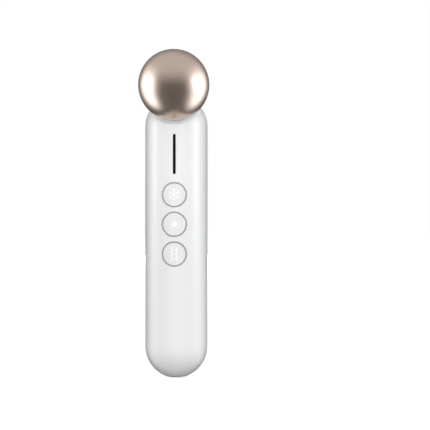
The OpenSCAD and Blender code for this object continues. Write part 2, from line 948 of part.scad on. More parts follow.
// Round lead swept along a route, with flat ends
module lead(route, first = [1, 0, 0]) {
    q = smooth_route(route);
    n = len(q);
    tangents = route_tangents(route, q);
    sides = tube_sides(tangents, first);
    points = [
        for (i = [0 : n - 1], k = [0 : lead_sides - 1])
            let (
                a = sides[i],
                b = cross(tangents[i], a),
                turn = 360 * k / lead_sides
            )
            q[i] + lead_r * (cos(turn) * a + sin(turn) * b)
    ];
    bands = [
        for (i = [0 : n - 2], k = [0 : lead_sides - 1])
            let (
                a = i * lead_sides + k,
                b = i * lead_sides + (k + 1) % lead_sides
            )
            each [[a, a + lead_sides, b], [b, a + lead_sides, b + lead_sides]]
    ];
    ends = [
        [for (k = [0 : lead_sides - 1]) k],
        [for (k = [lead_sides - 1 : -1 : 0]) (n - 1) * lead_sides + k]
    ];
    polyhedron(points = points, faces = concat(bands, ends));
}

module motor_leads() {
    back = -motor_axis;
    low = motor_z - slip / 2;
    color("#b23a32") for (side = [-1, 1]) let (x = side * motor_lead_x) lead([
        [x, back, low], [x, back, low - lead_out], [x, back - lead_turn, top_pass_z],
        [x, -chassis_back, top_pass_z], [x, -chassis_front, top_pass_z],
        [x, -board_back + slip, top_pass_z]
    ]);
}

module battery_leads() {
    back = -cell_axis;
    tab_y = back + tab_lead_y;
    top = cell_top_z + cell_button_h + tab_t + slip / 2;
    foot = cell_z - tab_t - slip / 2;
    low_z = cell_z - stop_t - passage_h / 2;
    front = -(board_front + board_back) / 2;
    color("#c23b30") lead([
        [0, tab_y, top], [0, tab_y, top + lead_out],
        [plus_lead_x / 2, back + lead_turn / 2, top_pass_z - lead_r],
        [plus_lead_x, back - lead_turn, top_pass_z], [plus_lead_x, -chassis_back, top_pass_z],
        [plus_lead_x, -chassis_front, top_pass_z], [plus_lead_x, -board_back + slip, top_pass_z]
    ]);
    color("#1c1c1c") lead([
        [minus_lead_x, tab_y, foot], [minus_lead_x, tab_y, foot - lead_out],
        [minus_lead_x, back + lead_out, low_z], [minus_lead_x, -chassis_back, low_z],
        [minus_lead_x, -chassis_front, low_z], [minus_lead_x, front, low_z + lead_turn],
        [minus_lead_x, front, low_z + lead_rise], [minus_lead_x, front, board_z - lead_rise],
        [minus_lead_x, front, board_z - slip / 2]
    ]);
}

module charge_leads() {
    front = -(board_front + board_back) / 2;
    foot = charge_board_top + slip / 2;
    color("#d8b13a") for (x = charge_lead_xs) lead([
        [x, front + lead_turn, foot], [x, front + lead_turn, foot + 2 * lead_out],
        [x, front, foot + lead_rise], [x, front, foot + lead_run],
        [x, front, board_z - lead_rise], [x, front, board_z - slip / 2]
    ]);
}

// From the thermoelectric module and the sensor's side, over the heat sink, to the board
module head_leads() {
    c = cos(ball_tilt);
    s = sin(ball_tilt);
    out_v = -module_side / 2 - lead_r;
    out_w = module_low + module_plate_t;
    out = [-out_w * c + out_v * s, head_dome_z + out_w * s + out_v * c];
    pad = [-board_front - lead_r - slip, board_top_z - pad_down];
    color("#7a2f2a") for (side = [-1, 1]) let (x = side * head_lead_x) lead([
        [x, out[0], out[1]], [x, out[0] - lead_turn / 2, out[1] - lead_out],
        [x, out[0] - lead_turn, out[1] - lead_turn],
        [x, pad[0] - lead_r / 2, pad[1] + pad_down - lead_out],
        [x, pad[0], pad[1] + pad_down / 2], [x, pad[0], pad[1]]
    ]);
}

// ---- charging foot ----

module contact_tracks(extra_r, low, high) {
    for (d = contact_ds)
        translate([0, 0, low])
            ring((d + contact_w) / 2 + extra_r, (d - contact_w) / 2 - extra_r, high - low);
}

module contact_legs(extra_r, low, high) {
    for (i = [0, 1])
        translate([(i * 2 - 1) * contact_ds[i] / 2, 0, low])
            cylinder(r = contact_leg_r + extra_r, h = high - low);
}

module contact_holder() {
    color("#e9e9e7") difference() {
        union() {
            cylinder(r = holder_r, h = charge_board_z);
            translate([0, 0, holder_flange_low])
                cylinder(d = holder_flange_d, h = holder_flange_t);
        }
        contact_tracks(slip, -past, contact_up + contact_ring_h + slip);
        contact_legs(slip, 0, charge_board_z + past);
    }
}

module contact_rings() {
    color("#d9b65a") {
        contact_tracks(0, contact_up, contact_up + contact_ring_h);
        contact_legs(0, contact_up + contact_ring_h / 2, charge_board_top + contact_leg_over);
    }
}

module docking_magnet() {
    color("#8f9296") translate([0, 0, holder_flange_top])
        ring(magnet_d / 2, holder_r + slip, magnet_h);
}

module charge_board() {
    color("#1f5a3a") difference() {
        translate([0, 0, charge_board_z]) cylinder(d = charge_board_d, h = charge_board_t);
        contact_legs(slip, charge_board_z - past, charge_board_top + past);
    }
}

// ---- the wand ----

front_shell();
rear_cover();
massage_ball();
seat_gasket();
neck_seal();
heat_slug();
thermoelectric_plates();
thermoelectric_legs();
heat_sink();
head_screws();
temperature_sensor();
cold_button();
heat_button();
vibration_button();
cold_switch_plunger();
heat_switch_plunger();
vibration_switch_plunger();
switch_cases();
button_trim_rings();
status_window();
light_guide();
status_lamps();
main_board();
board_chips();
power_coil();
board_screws();
chassis();
chassis_screws();
battery_cell();
battery_tabs();
battery_foam();
motor_can();
motor_sleeve();
motor_shaft();
eccentric_weight();
motor_leads();
battery_leads();
charge_leads();
head_leads();
contact_holder();
contact_rings();
docking_magnet();
charge_board();
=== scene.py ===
"""Looks of the heated eye massager wand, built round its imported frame.

The wand stands on its charging face at the origin, its grip runs up Z, and the ball and the
buttons face -Y. All sizes are in metres.
"""

import math

import bmesh
import bpy
from mathutils import Matrix, Vector, geometry, kdtree


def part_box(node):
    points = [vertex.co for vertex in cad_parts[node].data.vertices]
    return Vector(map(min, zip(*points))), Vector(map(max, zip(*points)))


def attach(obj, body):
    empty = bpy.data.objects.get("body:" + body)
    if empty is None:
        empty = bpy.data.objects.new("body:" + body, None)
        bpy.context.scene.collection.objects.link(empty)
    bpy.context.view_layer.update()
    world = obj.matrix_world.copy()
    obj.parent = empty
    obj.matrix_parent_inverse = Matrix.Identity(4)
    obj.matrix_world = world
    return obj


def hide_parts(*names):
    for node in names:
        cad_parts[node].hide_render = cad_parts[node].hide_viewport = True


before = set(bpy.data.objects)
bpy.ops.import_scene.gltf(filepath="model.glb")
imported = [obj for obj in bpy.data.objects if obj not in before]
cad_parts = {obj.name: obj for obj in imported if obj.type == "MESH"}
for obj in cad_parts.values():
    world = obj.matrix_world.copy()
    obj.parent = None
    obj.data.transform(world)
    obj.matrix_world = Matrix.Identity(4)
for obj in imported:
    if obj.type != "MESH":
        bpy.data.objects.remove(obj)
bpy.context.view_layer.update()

MM = 0.001
UP = Vector((0, 0, 1))
FRONT = Vector((0, -1, 0))

# ---- sizes of the wand ----

# Grip: a round bar with a dome at each end, split into a front shell and a rear cover
GRIP_R = 15.6 * MM
WALL = 1.8 * MM
INNER_R = GRIP_R - WALL
GRIP_LEN = 109.8 * MM
FOOT_FLAT_R = 3.6 * MM
FOOT_HOLE_R = 3.05 * MM
FOOT_Z = math.sqrt(GRIP_R**2 - FOOT_FLAT_R**2)
HEAD_Z = FOOT_Z + GRIP_LEN
HEAD = Vector((0, 0, HEAD_Z))
SEAM_ROUND = 0.14 * MM
HOLE_ROUND = 0.2 * MM
KEY_HOLE_ROUND = 0.06 * MM
SLOT_ROUND = 0.45 * MM
ROUND_STEPS = 4
# Degrees between two faces past which their edge stays sharp
SHARP = 35

# Ball and its seat, along an axis tilted towards the front
BALL_TILT = math.radians(45)
BALL_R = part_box("massage_ball")[1].x
BALL_CENTRE = Vector((0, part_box("massage_ball")[0].y + BALL_R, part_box("massage_ball")[1].z - BALL_R))
BALL_REACH = (BALL_CENTRE - HEAD).length
BALL_WALL = 2 * MM
NECK_R = 5.2 * MM
NECK_BORE_R = 3.65 * MM
SEAT_RIM_R = 11 * MM
SEAT_ROUND = 1.5 * MM
SEAT_W = math.sqrt(GRIP_R**2 - SEAT_RIM_R**2)
RECESS_R = 9.65 * MM
RECESS_LOW = SEAT_W - 2.3 * MM
PLATE_LOW = RECESS_LOW - 2.2 * MM
NECK_HOLE_R = 5.25 * MM
NECK_GAP = 0.05 * MM
# Gasket: its collar meets the ball at COLLAR_R, and its lip turns down over the seat's rim
GASKET_R = 9.6 * MM
GASKET_GAP = 0.05 * MM
GASKET_WEAR = 0.3
COLLAR_R = 9.9 * MM
COLLAR_BULGE_R = 4 * MM
LIP_T = 0.12 * MM
LIP_LIFT = 0.01 * MM
LIP_TURN = math.radians(33)

# Push buttons, top to bottom, in their trim rings
KEYS = ("cold", "heat", "vibration")
KEY_ZS = [sum(corner.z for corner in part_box(f"{key}_button")) / 2 for key in KEYS]
KEY_PITCH = KEY_ZS[0] - KEY_ZS[1]
BUTTON_R = 5.46 * MM
BUTTON_ROUND = 0.14 * MM
# Band inside the rounded rim that shares its painted highlight, and the strength of that highlight
HIGHLIGHT_BAND = 0.4 * MM
RIM_HIGHLIGHT = 0.9
FLANGE_R = 6.3 * MM
FLANGE_FRONT = 12.08 * MM
FLANGE_BACK = 11.18 * MM
TRIM_R = 5.835 * MM
TRIM_W = 0.63 * MM
TRIM_T = 1.6 * MM
KEY_HOLE_R = 6.2 * MM

# Status window in its slot
WINDOW_Z = sum(corner.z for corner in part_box("status_window")) / 2
WINDOW_W = 1.3 * MM
WINDOW_LEN = 19.5 * MM
WINDOW_SINK = 0.2 * MM
WINDOW_T = 1.2 * MM
WINDOW_GAP = 0.02 * MM
LENS_ROUND = 0.05 * MM
LENS_BAND = 0.39 * MM

# Symbols printed on the buttons, as strokes in millimetres from the button's middle
PRINT_T = 0.02 * MM
ARMS, RAYS = 6, 8
ARM_W, RAY_W, WAVE_W = 0.4, 0.22, 0.5
ARM_START, ARM_FORK, ARM_TIP, ARM_SPREAD = 0.25, 1.6, 2.62, 0.72
SUN_R, RAY_START, RAY_END = 1.45, 2.0, 2.8
WAVE_NEAR, WAVE_FAR, WAVE_TOP, WAVE_STEP, WAVE_TURNS = 0.7, 1.58, 2.95, 1.0, 6

# Ball axis: X across, Z out through the ball, from the head dome's centre
BALL_FRAME = Matrix.Translation(HEAD) @ Matrix.Rotation(math.pi / 2 - BALL_TILT, 4, "X")


# ---- round edges and the shape of the grip ----


def quarter_round(size, steps=ROUND_STEPS):
    """(inset from the edge, depth below the face, share of the face's normal, share of the edge's)."""
    turns = [math.pi / 2 * k / steps for k in range(steps + 1)]
    return [(size * (1 - math.sin(a)), size * (1 - math.cos(a)), math.cos(a), math.sin(a)) for a in turns]


def wear(face_share, edge_share):
    """How much of an edge a point of its rounding is, 1 at the middle."""
    return 2 * face_share * edge_share


def grip_normal(co):
    """Outward direction of the grip's surface at a point on it."""
    if co.z > HEAD_Z:
        return (co - HEAD).normalized()
    return Vector((co.x, co.y, 0)).normalized()


def on_grip(co, radius):
    """The point of the grip's surface of that radius that lies level with co."""
    rise = max(co.z - HEAD_Z, 0)
    flat = Vector((co.x, co.y, 0)).normalized() * math.sqrt(radius**2 - rise**2)
    return Vector((flat.x, flat.y, co.z))


def flattened(co, radius):
    """A point of the grip's wall on a plane, with the head's top in its middle."""
    rise = (co.z - HEAD_Z) / radius
    reach = math.exp(-math.atanh(rise) if rise > 0 else -rise)
    turn = math.atan2(co.x, -co.y)
    return Vector((reach * math.sin(turn), reach * math.cos(turn)))


# ---- building one piece's mesh ----

# Smallest step told apart on the flattened wall
FLAT_STEP = 1e-9

class Skin:
    """The mesh of one piece while it is built, with exact normals and the wear of its edges at its points; on
    the buttons' rims that value is a painted highlight.
    """

    def __init__(self):
        self.bm = bmesh.new()
        self.exact = self.bm.verts.layers.float_vector.new("exact_normal")
        self.wear_and_highlight = self.bm.verts.layers.float.new("edge_wear")

    def point(self, co, normal=None, wear_and_highlight=0.0):
        """A point with its wear value, a painted highlight on the buttons' rims, and with its exact normal
        where it is known.
        """
        vert = self.bm.verts.new(co)
        vert[self.exact] = normal.normalized() if normal else (0, 0, 0)
        vert[self.wear_and_highlight] = wear_and_highlight
        return vert

    def strip(self, row, other, closed=True):
        """Quads between two rows with as many points."""
        count = len(row)
        for i in range(count if closed else count - 1):
            j = (i + 1) % count
            self.bm.faces.new((row[i], row[j], other[j], other[i]))

    def strips(self, rows, closed=True):
        """Quads between each row and the next."""
        for row, other in zip(rows, rows[1:]):
            self.strip(row, other, closed)

    def close(self, row):
        """One face over a row."""
        self.bm.faces.new(row)

    def piece(self, name):
        """Ends the mesh as an object. Faces turn outwards, and edges past the sharp angle stay sharp."""
        bmesh.ops.recalc_face_normals(self.bm, faces=self.bm.faces)
        mesh = bpy.data.meshes.new(name)
        self.bm.to_mesh(mesh)
        self.bm.free()
        mesh.shade_smooth()
        mesh.set_sharp_from_angle(angle=math.radians(SHARP))
        exact = mesh.attributes["exact_normal"]
        mesh.normals_split_custom_set_from_vertices([tuple(d.vector) for d in exact.data])
        mesh.attributes.remove(mesh.attributes["exact_normal"])
        obj = bpy.data.objects.new(name, mesh)
        bpy.context.scene.collection.objects.link(obj)
        return obj


def fill_wall(skin, loops, loose, radius, inside):
    """Triangles of the grip's wall between closed loops and through loose points.

    The first loop is the outline, the others are openings, and inside(flat point) tells the
    wall from what lies past its outline.
    """
    verts = [v for loop in loops for v in loop] + loose
    owner, edges, start = {}, [], 0
    for number, loop in enumerate(loops):
        for i in range(len(loop)):
            owner[start + i] = number
            edges.append((start + i, start + (i + 1) % len(loop)))
        start += len(loop)
    flat = [flattened(v.co, radius) for v in verts]
    _, _, faces, origin, _, _ = geometry.delaunay_2d_cdt(flat, edges, [], 0, FLAT_STEP)
    for face in faces:
        corners = [origin[i][0] for i in face]
        owners = {owner.get(i) for i in corners}
        if len(owners) == 1 and None not in owners:
            middle = sum((flat[i] for i in corners), Vector((0, 0))) / 3
            if owners != {0} or not inside(middle):
                continue
        skin.bm.faces.new([verts[i] for i in corners])


# ---- grip shells ----

# Points along each stretch
FOOT_ROWS = 18
COVER_ROWS = 24
SIDE_STEPS = 110
BACK_STEPS = 60
HALF_COLUMNS = 60
SEAT_STEPS = 144
SEAT_ROUND_STEPS = 10
KEY_STEPS = 72
CAP_RINGS = 8
RIM_STEPS = 5
SLOT_END_STEPS = 10
SLOT_SIDE_STEPS = 26
SLOT_ROUND_STEPS = 6
# Spacing of the points between them, in the outer and the inner wall
WALL_PITCH = 1.0 * MM
INNER_PITCH = 2.5 * MM
# Shares of that spacing: from row to row, and from a loop that is already there
ROW_PITCH = 0.87
CLEAR = 0.6
# Slack at the sides of the wall's outline, as a share of its inset, against rounding errors
OUTLINE_SLACK = 1e-6
SEAT_WEAR = 0.6


def foot_profile(radius):
    """Foot dome from the grip's end down, as (ring radius, height, slope out, slope up)."""
    low = math.asin(FOOT_Z / radius) if radius == GRIP_R else math.acos(FOOT_HOLE_R / radius)
    angles = [low * k / FOOT_ROWS for k in range(FOOT_ROWS + 1)]
    return [(radius * math.cos(a), FOOT_Z - radius * math.sin(a), math.cos(a), -math.sin(a)) for a in angles]


def outer_foot():
    """Outside of the foot, with wear: the dome, the flat charging face and the hole's edge."""
    rows = [(*row, 0.0) for row in foot_profile(GRIP_R)]
    rows.append((FOOT_HOLE_R + 2 * HOLE_ROUND, 0, 0, -1, 0.0))
    for inset, depth, face, edge in quarter_round(HOLE_ROUND):
        rows.append((FOOT_HOLE_R + inset, depth, -edge, -face, wear(face, edge)))
    return rows


def across(skin, profile, side, rounded=True, ends=None):
    """A row of points across one half of the grip, from one parting face to the other.

    side is -1 for the front and 1 for the back. An outer row's ends are rounded. ends holds
    points at both ends of the row that are already there.
    """
    ring_r, z, out, up, wear_and_highlight = profile
    steps = quarter_round(SEAM_ROUND) if rounded else [(0, 0, 1, 0)]
    first = math.acos(steps[0][0] / ring_r)
    places = []
    for inset, depth, face, edge in steps[1:]:
        reach = math.sqrt((ring_r - depth * out) ** 2 - inset**2)
        places.append((reach, inset, z - depth * up, face, edge))
    row = [(Vector((x, side * y, h)), face, edge) for x, y, h, face, edge in reversed(places)]
    for k in range(HALF_COLUMNS + 1):
        turn = first - 2 * first * k / HALF_COLUMNS
        row.append((Vector((ring_r * math.sin(turn), side * ring_r * math.cos(turn), z)), 1, 0))
    row += [(Vector((-x, side * y, h)), face, edge) for x, y, h, face, edge in places]
    points = []
    for number, (co, face, edge) in enumerate(row):
        if ends and number < len(ends[0]):
            points.append(ends[0][number])
        elif ends and number >= len(row) - len(ends[1]):
            points.append(ends[1][number - len(row) + len(ends[1])])
        else:
            flat = Vector((co.x, co.y, 0)).normalized()
            normal = face * (flat * out + UP * up) + edge * Vector((0, -side, 0))
            points.append(skin.point(co, normal if rounded else None, max(wear_and_highlight, wear(face, edge))))
    return points


def join_at_edge(skin, outer, inner):
    """Closes the wall between an outer row with rounded ends and an inner row."""
    skin.strip(outer[ROUND_STEPS:-ROUND_STEPS], inner, closed=False)
    skin.close([*outer[: ROUND_STEPS + 1], inner[0]])
    skin.close([*outer[-ROUND_STEPS - 1 :], inner[-1]])


def seam_path(skin, radius, inset=0.0, depth=0.0, face=0.0, edge=0.0):
    """The front shell's parting edge, up one side, round the back of the head and down again."""
    r = radius - depth
    top = HEAD_Z + inset
    path = []
    for k in range(SIDE_STEPS + 1):
        z = FOOT_Z + (top - FOOT_Z) * k / SIDE_STEPS
        reach = math.sqrt(r**2 - inset**2 - max(z - HEAD_Z, 0) ** 2)
        path.append((Vector((reach, -inset, z)), -FRONT))
    ring_r = math.sqrt(r**2 - inset**2)
    start = math.acos(inset / ring_r)
    back = []
    for k in range(1, BACK_STEPS):
        turn = start + 2 * (math.pi - start) * k / BACK_STEPS
        back.append((Vector((ring_r * math.sin(turn), -ring_r * math.cos(turn), top)), -UP))
    mirrored = [(Vector((-co.x, co.y, co.z)), way) for co, way in reversed(path)]
    points = []
    for co, way in path + back + mirrored:
        normal = face * grip_normal(co) + edge * way if face or edge else None
        points.append(skin.point(co, normal, wear(face, edge)))
    return points


def slot_outline(width, length):
    """Points round a slot with round ends, as (x, z, way out)."""
    half, straight = width / 2, (length - width) / 2
    points = []
    for side in (1, -1):
        for k in range(SLOT_SIDE_STEPS):
            z = side * (2 * straight * k / SLOT_SIDE_STEPS - straight)
            points.append((side * half, z, Vector((side, 0, 0))))
        for k in range(SLOT_END_STEPS):
            a = math.pi * k / SLOT_END_STEPS
            way = Vector((side * math.cos(a), 0, side * math.sin(a)))
            points.append((half * way.x, side * straight + half * way.z, way))
    return points


def circle_outline(ring_r):
    """Points round a circle, as (x, z, way out)."""
    points = []
    for k in range(KEY_STEPS):
        a = 2 * math.pi * k / KEY_STEPS
        way = Vector((math.cos(a), 0, math.sin(a)))
        points.append((ring_r * way.x, ring_r * way.z, way))
    return points


def laid_loop(skin, outline, z, radius, depth=0.0, face=0.0, edge=0.0, turn=1):
    """An outline laid round height z on the front of a bar of that radius, and sunk by depth.

    turn is 1 on a solid's own edge and -1 on the edge of a hole.
    """
    loop = []
    for x, rise, way in outline:
        co = Vector((x, -math.sqrt(radius**2 - x**2), z + rise))
        normal = face * grip_normal(co) + edge * turn * way if face or edge else None
        loop.append(skin.point(co - FRONT * depth, normal, wear(face, edge)))
    return loop


def cut_opening(skin, z, outline_of, size, rounding, steps=ROUND_STEPS):
    """A hole's rounded edge and its wall. Returns its loops on the outside and the inside."""
    loops = [
        laid_loop(skin, outline_of(size + inset), z, GRIP_R, depth, face, edge, turn=-1)
        for inset, depth, face, edge in quarter_round(rounding, steps)
    ]
    inner = laid_loop(skin, outline_of(size), z, INNER_R)
    skin.strips([*loops, inner])
    return loops[0], inner


def seat_rim_r():
    """Radius of the circle round which the seat's rim is rounded."""
    return math.sqrt((GRIP_R - SEAT_ROUND) ** 2 - (SEAT_W - SEAT_ROUND) ** 2)


def seat_profile():
    """The seat from the head's outside to its inside, as (radius, along, out, up, wear)."""
    tube_w = SEAT_W - SEAT_ROUND
    tube_r = seat_rim_r()
    start = math.atan2(tube_r, tube_w)
    rows = []
    for k in range(SEAT_ROUND_STEPS + 1):
        a = start * (1 - k / SEAT_ROUND_STEPS)
        out, up = math.sin(a), math.cos(a)
        wear_and_highlight = SEAT_WEAR * math.sin(math.pi * k / SEAT_ROUND_STEPS)
        rows.append((tube_r + SEAT_ROUND * out, tube_w + SEAT_ROUND * up, out, up, wear_and_highlight))
    for inset, depth, face, edge in quarter_round(HOLE_ROUND):
        rows.append((RECESS_R + inset, SEAT_W - depth, -edge, face, wear(face, edge)))
    plate_r = math.sqrt(INNER_R**2 - PLATE_LOW**2)
    hidden = (
        (RECESS_R, RECESS_LOW), (NECK_HOLE_R, RECESS_LOW), (NECK_HOLE_R, PLATE_LOW), (plate_r, PLATE_LOW)
    )
    return rows + [(radius, along, 0, 0, 0.0) for radius, along in hidden]


def cut_seat(skin):
    """The seat's rings round the ball's axis. Returns the outermost and the innermost."""
    rings = []
    turned = BALL_FRAME.to_3x3()
    for radius, along, out, up, wear_and_highlight in seat_profile():
        ring = []
        for k in range(SEAT_STEPS):
            a = 2 * math.pi * k / SEAT_STEPS
            co = BALL_FRAME @ Vector((radius * math.cos(a), radius * math.sin(a), along))
            normal = turned @ Vector((out * math.cos(a), out * math.sin(a), up)) if out or up else None
            if not rings:
                co = on_grip(co, GRIP_R)
                normal = grip_normal(co)
            ring.append(skin.point(co, normal, wear_and_highlight))
        rings.append(ring)
    skin.strips(rings)
    return rings[0], rings[-1]


def in_opening(co):
    """Whether a point of the front lies in a button hole or in the window's slot."""
    if any(math.hypot(co.x, co.z - z) < KEY_HOLE_R + KEY_HOLE_ROUND for z in KEY_ZS):
        return True
    past = max(abs(co.z - WINDOW_Z) - (WINDOW_LEN - WINDOW_W) / 2, 0)
    return math.hypot(co.x, past) < WINDOW_W / 2 + SLOT_ROUND


def loose_points(skin, radius, spacing, fixed, seat_angle):
    """Evenly spaced points of the wall, clear of the loops that are already there."""
    tree = kdtree.KDTree(len(fixed))
    for i, vert in enumerate(fixed):
        tree.insert(vert.co, i)
    tree.balance()
    axis = BALL_FRAME.to_3x3() @ UP
    margin = spacing / 2
    places = []
    rows = round((HEAD_Z - FOOT_Z) / (ROW_PITCH * spacing))
    columns = round(math.pi * radius / spacing)
    for i in range(1, rows):
        for k in range(1, columns + 1):
            turn = math.pi * ((k - 0.5 * (i % 2)) / columns - 0.5)
            z = FOOT_Z + (HEAD_Z - FOOT_Z) * i / rows
            places.append(Vector((radius * math.sin(turn), -radius * math.cos(turn), z)))
    tilt = seat_angle
    while tilt < BALL_TILT + math.pi / 2:
        tilt += ROW_PITCH * spacing / radius
        around = round(2 * math.pi * radius * math.sin(tilt) / spacing)
        for k in range(around):
            a = 2 * math.pi * k / around
            way = Vector((math.sin(tilt) * math.cos(a), math.sin(tilt) * math.sin(a), math.cos(tilt)))
            co = BALL_FRAME @ (way * radius)
            if co.z > HEAD_Z + margin:
                places.append(co)
    points = []
    for co in places:
        behind = co.z < HEAD_Z and co.y > -margin
        seated = (co - HEAD).angle(axis) < seat_angle
        if not (behind or seated or in_opening(co)) and tree.find(co)[2] > CLEAR * spacing:
            points.append(skin.point(co, grip_normal(co) if radius == GRIP_R else None))
    return points


def front_wall(skin, radius, spacing, seam, foot_row, openings, seat_ring):
    """The front shell's wall on one radius, from the foot dome to the back of the head."""
    outline = [*seam, *reversed(foot_row[1:-1])]
    fixed = [v for loop in (outline, *openings, seat_ring) for v in loop]
    seat_angle = min((v.co - HEAD).angle(BALL_FRAME.to_3x3() @ UP) for v in seat_ring)
    loose = loose_points(skin, radius, spacing, fixed, seat_angle)
    inset = -seam[0].co.y
    side_limit = inset / radius * (1 - OUTLINE_SLACK) + FLAT_STEP
    head_limit = math.exp(-math.atanh(inset / radius))

    def inside(flat):
        return flat.length < head_limit or flat.y > side_limit * flat.length

    fill_wall(skin, [outline, *openings, seat_ring], loose, radius, inside)


def front_shell():
    """Front shell with the head dome, the ball's seat, the window's slot and the button holes."""
    skin = Skin()
    seams = [seam_path(skin, GRIP_R, *step) for step in quarter_round(SEAM_ROUND)]
    inner_seam = seam_path(skin, INNER_R)
    seat_outside, seat_inside = cut_seat(skin)
    holes = [
        cut_opening(skin, z, circle_outline, KEY_HOLE_R, KEY_HOLE_ROUND) for z in KEY_ZS
    ]
    straight = WINDOW_LEN - WINDOW_W
    holes.append(
        cut_opening(
            skin, WINDOW_Z, lambda half: slot_outline(2 * half, straight + 2 * half),
            WINDOW_W / 2 + WINDOW_GAP, SLOT_ROUND, SLOT_ROUND_STEPS,
        )
    )
    right = [seam[0] for seam in reversed(seams)]
    left = [seam[-1] for seam in seams]
    outside = [
        across(skin, row, -1, ends=(right, left) if number == 0 else None)
        for number, row in enumerate(outer_foot())
    ]
    inner_ends = ([inner_seam[0]], [inner_seam[-1]])
    inside = [
        across(skin, (*row, 0.0), -1, rounded=False, ends=inner_ends if number == 0 else None)
        for number, row in enumerate(foot_profile(INNER_R))
    ]
    skin.strips(outside, closed=False)
    skin.strips(inside, closed=False)
    join_at_edge(skin, outside[-1], inside[-1])
    for end, part in ((0, slice(None, SIDE_STEPS + 1)), (-1, slice(-SIDE_STEPS - 1, None))):
        outer_edge = [row[end] for row in outside[:0:-1]]
        inner_edge = [row[end] for row in inside[:0:-1]]
        outer_side, inner_side = seams[-1][part], inner_seam[part]
        if end:
            outer_side, inner_side = outer_side[::-1], inner_side[::-1]
        skin.close([*outer_edge, *outer_side, *reversed(inner_side), *reversed(inner_edge)])
    skin.strips(seams, closed=False)
    back = slice(SIDE_STEPS, -SIDE_STEPS)
    skin.strip(seams[-1][back], inner_seam[back], closed=False)
    outer_row = outside[0][ROUND_STEPS:-ROUND_STEPS]
    front_wall(skin, GRIP_R, WALL_PITCH, seams[0], outer_row, [o for o, _ in holes], seat_outside)
    front_wall(skin, INNER_R, INNER_PITCH, inner_seam, inside[0], [i for _, i in holes], seat_inside)
    return skin.piece("front_shell_moulding")


def rear_cover():
    """Rear cover of the grip with the back half of the foot."""
    skin = Skin()
    rows = [
        (GRIP_R - depth, HEAD_Z - inset, face, edge, wear(face, edge))
        for inset, depth, face, edge in reversed(quarter_round(SEAM_ROUND))
    ]
    low, high = FOOT_Z, HEAD_Z - SEAM_ROUND
    rows += [(GRIP_R, high + (low - high) * k / COVER_ROWS, 1, 0, 0.0) for k in range(1, COVER_ROWS)]
    outside = [across(skin, row, 1) for row in rows + outer_foot()]
    inner = [(INNER_R, HEAD_Z + (FOOT_Z - HEAD_Z) * k / COVER_ROWS, 1, 0, 0.0) for k in range(COVER_ROWS)]
    inner += [(*row, 0.0) for row in foot_profile(INNER_R)]
    inside = [across(skin, row, 1, rounded=False) for row in inner]
    skin.strips(outside, closed=False)
    skin.strips(inside, closed=False)
    # Outer rows that pair off with the inner ones
    level = slice(ROUND_STEPS, ROUND_STEPS + len(inside))
    for number in (0, -1):
        join_at_edge(skin, outside[number], inside[number])
        outer_edge = [row[number] for row in outside]
        inner_edge = [row[number] for row in inside]
        skin.strip(outer_edge[level], inner_edge, closed=False)
        skin.close([*outer_edge[level.stop - 1 :], inner_edge[-1]])
    # The rounded top rows meet in one point at each parting face
    bmesh.ops.remove_doubles(skin.bm, verts=skin.bm.verts, dist=MERGE)
    return skin.piece("rear_cover_moulding")


# ---- buttons and window ----


def button(key, z):
    """A button's cap with a rounded rim, and the flange that keeps it in its hole."""
    skin = Skin()
    face_r = BUTTON_R - BUTTON_ROUND - HIGHLIGHT_BAND
    middle = skin.point(Vector((0, -GRIP_R, z)), FRONT)
    rings = [
        laid_loop(skin, circle_outline(face_r * k / CAP_RINGS), z, GRIP_R, face=1)
        for k in range(1, CAP_RINGS + 1)
    ]
    rim = [(BUTTON_ROUND + HIGHLIGHT_BAND * (1 - k / RIM_STEPS), 0, 1, 0) for k in range(1, RIM_STEPS)]
    for inset, depth, face, edge in rim + quarter_round(BUTTON_ROUND, RIM_STEPS):
        rings.append(laid_loop(skin, circle_outline(BUTTON_R - inset), z, GRIP_R, depth, face, edge))
        # The rim and the band inside it get a near-white painted highlight through this value.
        for vert in rings[-1]:
            vert[skin.wear_and_highlight] = RIM_HIGHLIGHT * max(face, edge)
    for ring_r, y in ((BUTTON_R, FLANGE_FRONT), (FLANGE_R, FLANGE_FRONT), (FLANGE_R, FLANGE_BACK)):
        rings.append([skin.point(Vector((x, -y, z + rise))) for x, rise, _ in circle_outline(ring_r)])
    first = rings[0]
    for k in range(len(first)):
        skin.bm.faces.new((middle, first[k], first[(k + 1) % len(first)]))
    skin.strips(rings)
    skin.close(rings[-1])
    return skin.piece(f"{key}_button_cap")


def status_window():
    """Dark lens, sunk a little in its slot."""
    skin = Skin()
    straight = WINDOW_LEN - WINDOW_W
    loops = [
        laid_loop(
            skin, slot_outline(WINDOW_W - 2 * inset, straight + WINDOW_W - 2 * inset),
            WINDOW_Z, GRIP_R, WINDOW_SINK + depth, face, edge,
        )
        for inset, depth, face, edge in [(LENS_BAND, 0, 1, 0), *quarter_round(LENS_ROUND)]
    ]
    loops.append(
        laid_loop(skin, slot_outline(WINDOW_W, WINDOW_LEN), WINDOW_Z, GRIP_R, WINDOW_SINK + WINDOW_T)
    )
    skin.close(loops[0])
    skin.strips(loops)
    skin.close(loops[-1])
    return skin.piece("status_window_lens")


# ---- node trees ----

NUMBER, COUNT, SHAPE, FINISH = (f"NodeSocket{kind}" for kind in ("Float", "Int", "Geometry", "Material"))


def socket(sockets, key):
    """A node's socket by its number, or by its name among those in use."""
    if isinstance(key, int):
        return sockets[key]
    return next(item for item in sockets if item.name == key and item.enabled)


def add_node(tree, kind, inputs=None, **settings):
    """A node with its settings, and its inputs linked or set."""
    made = tree.nodes.new(kind)
    for name, value in settings.items():
        setattr(made, name, value)
    for key, value in (inputs or {}).items():
        if isinstance(value, bpy.types.NodeSocket):
            tree.links.new(value, socket(made.inputs, key))
        else:
            socket(made.inputs, key).default_value = value
    return made


def reckon(tree, operation, *values, clamp=False):
    """Result of a sum on numbers."""
    made = add_node(tree, "ShaderNodeMath", dict(enumerate(values)), operation=operation, use_clamp=clamp)
    return made.outputs[0]


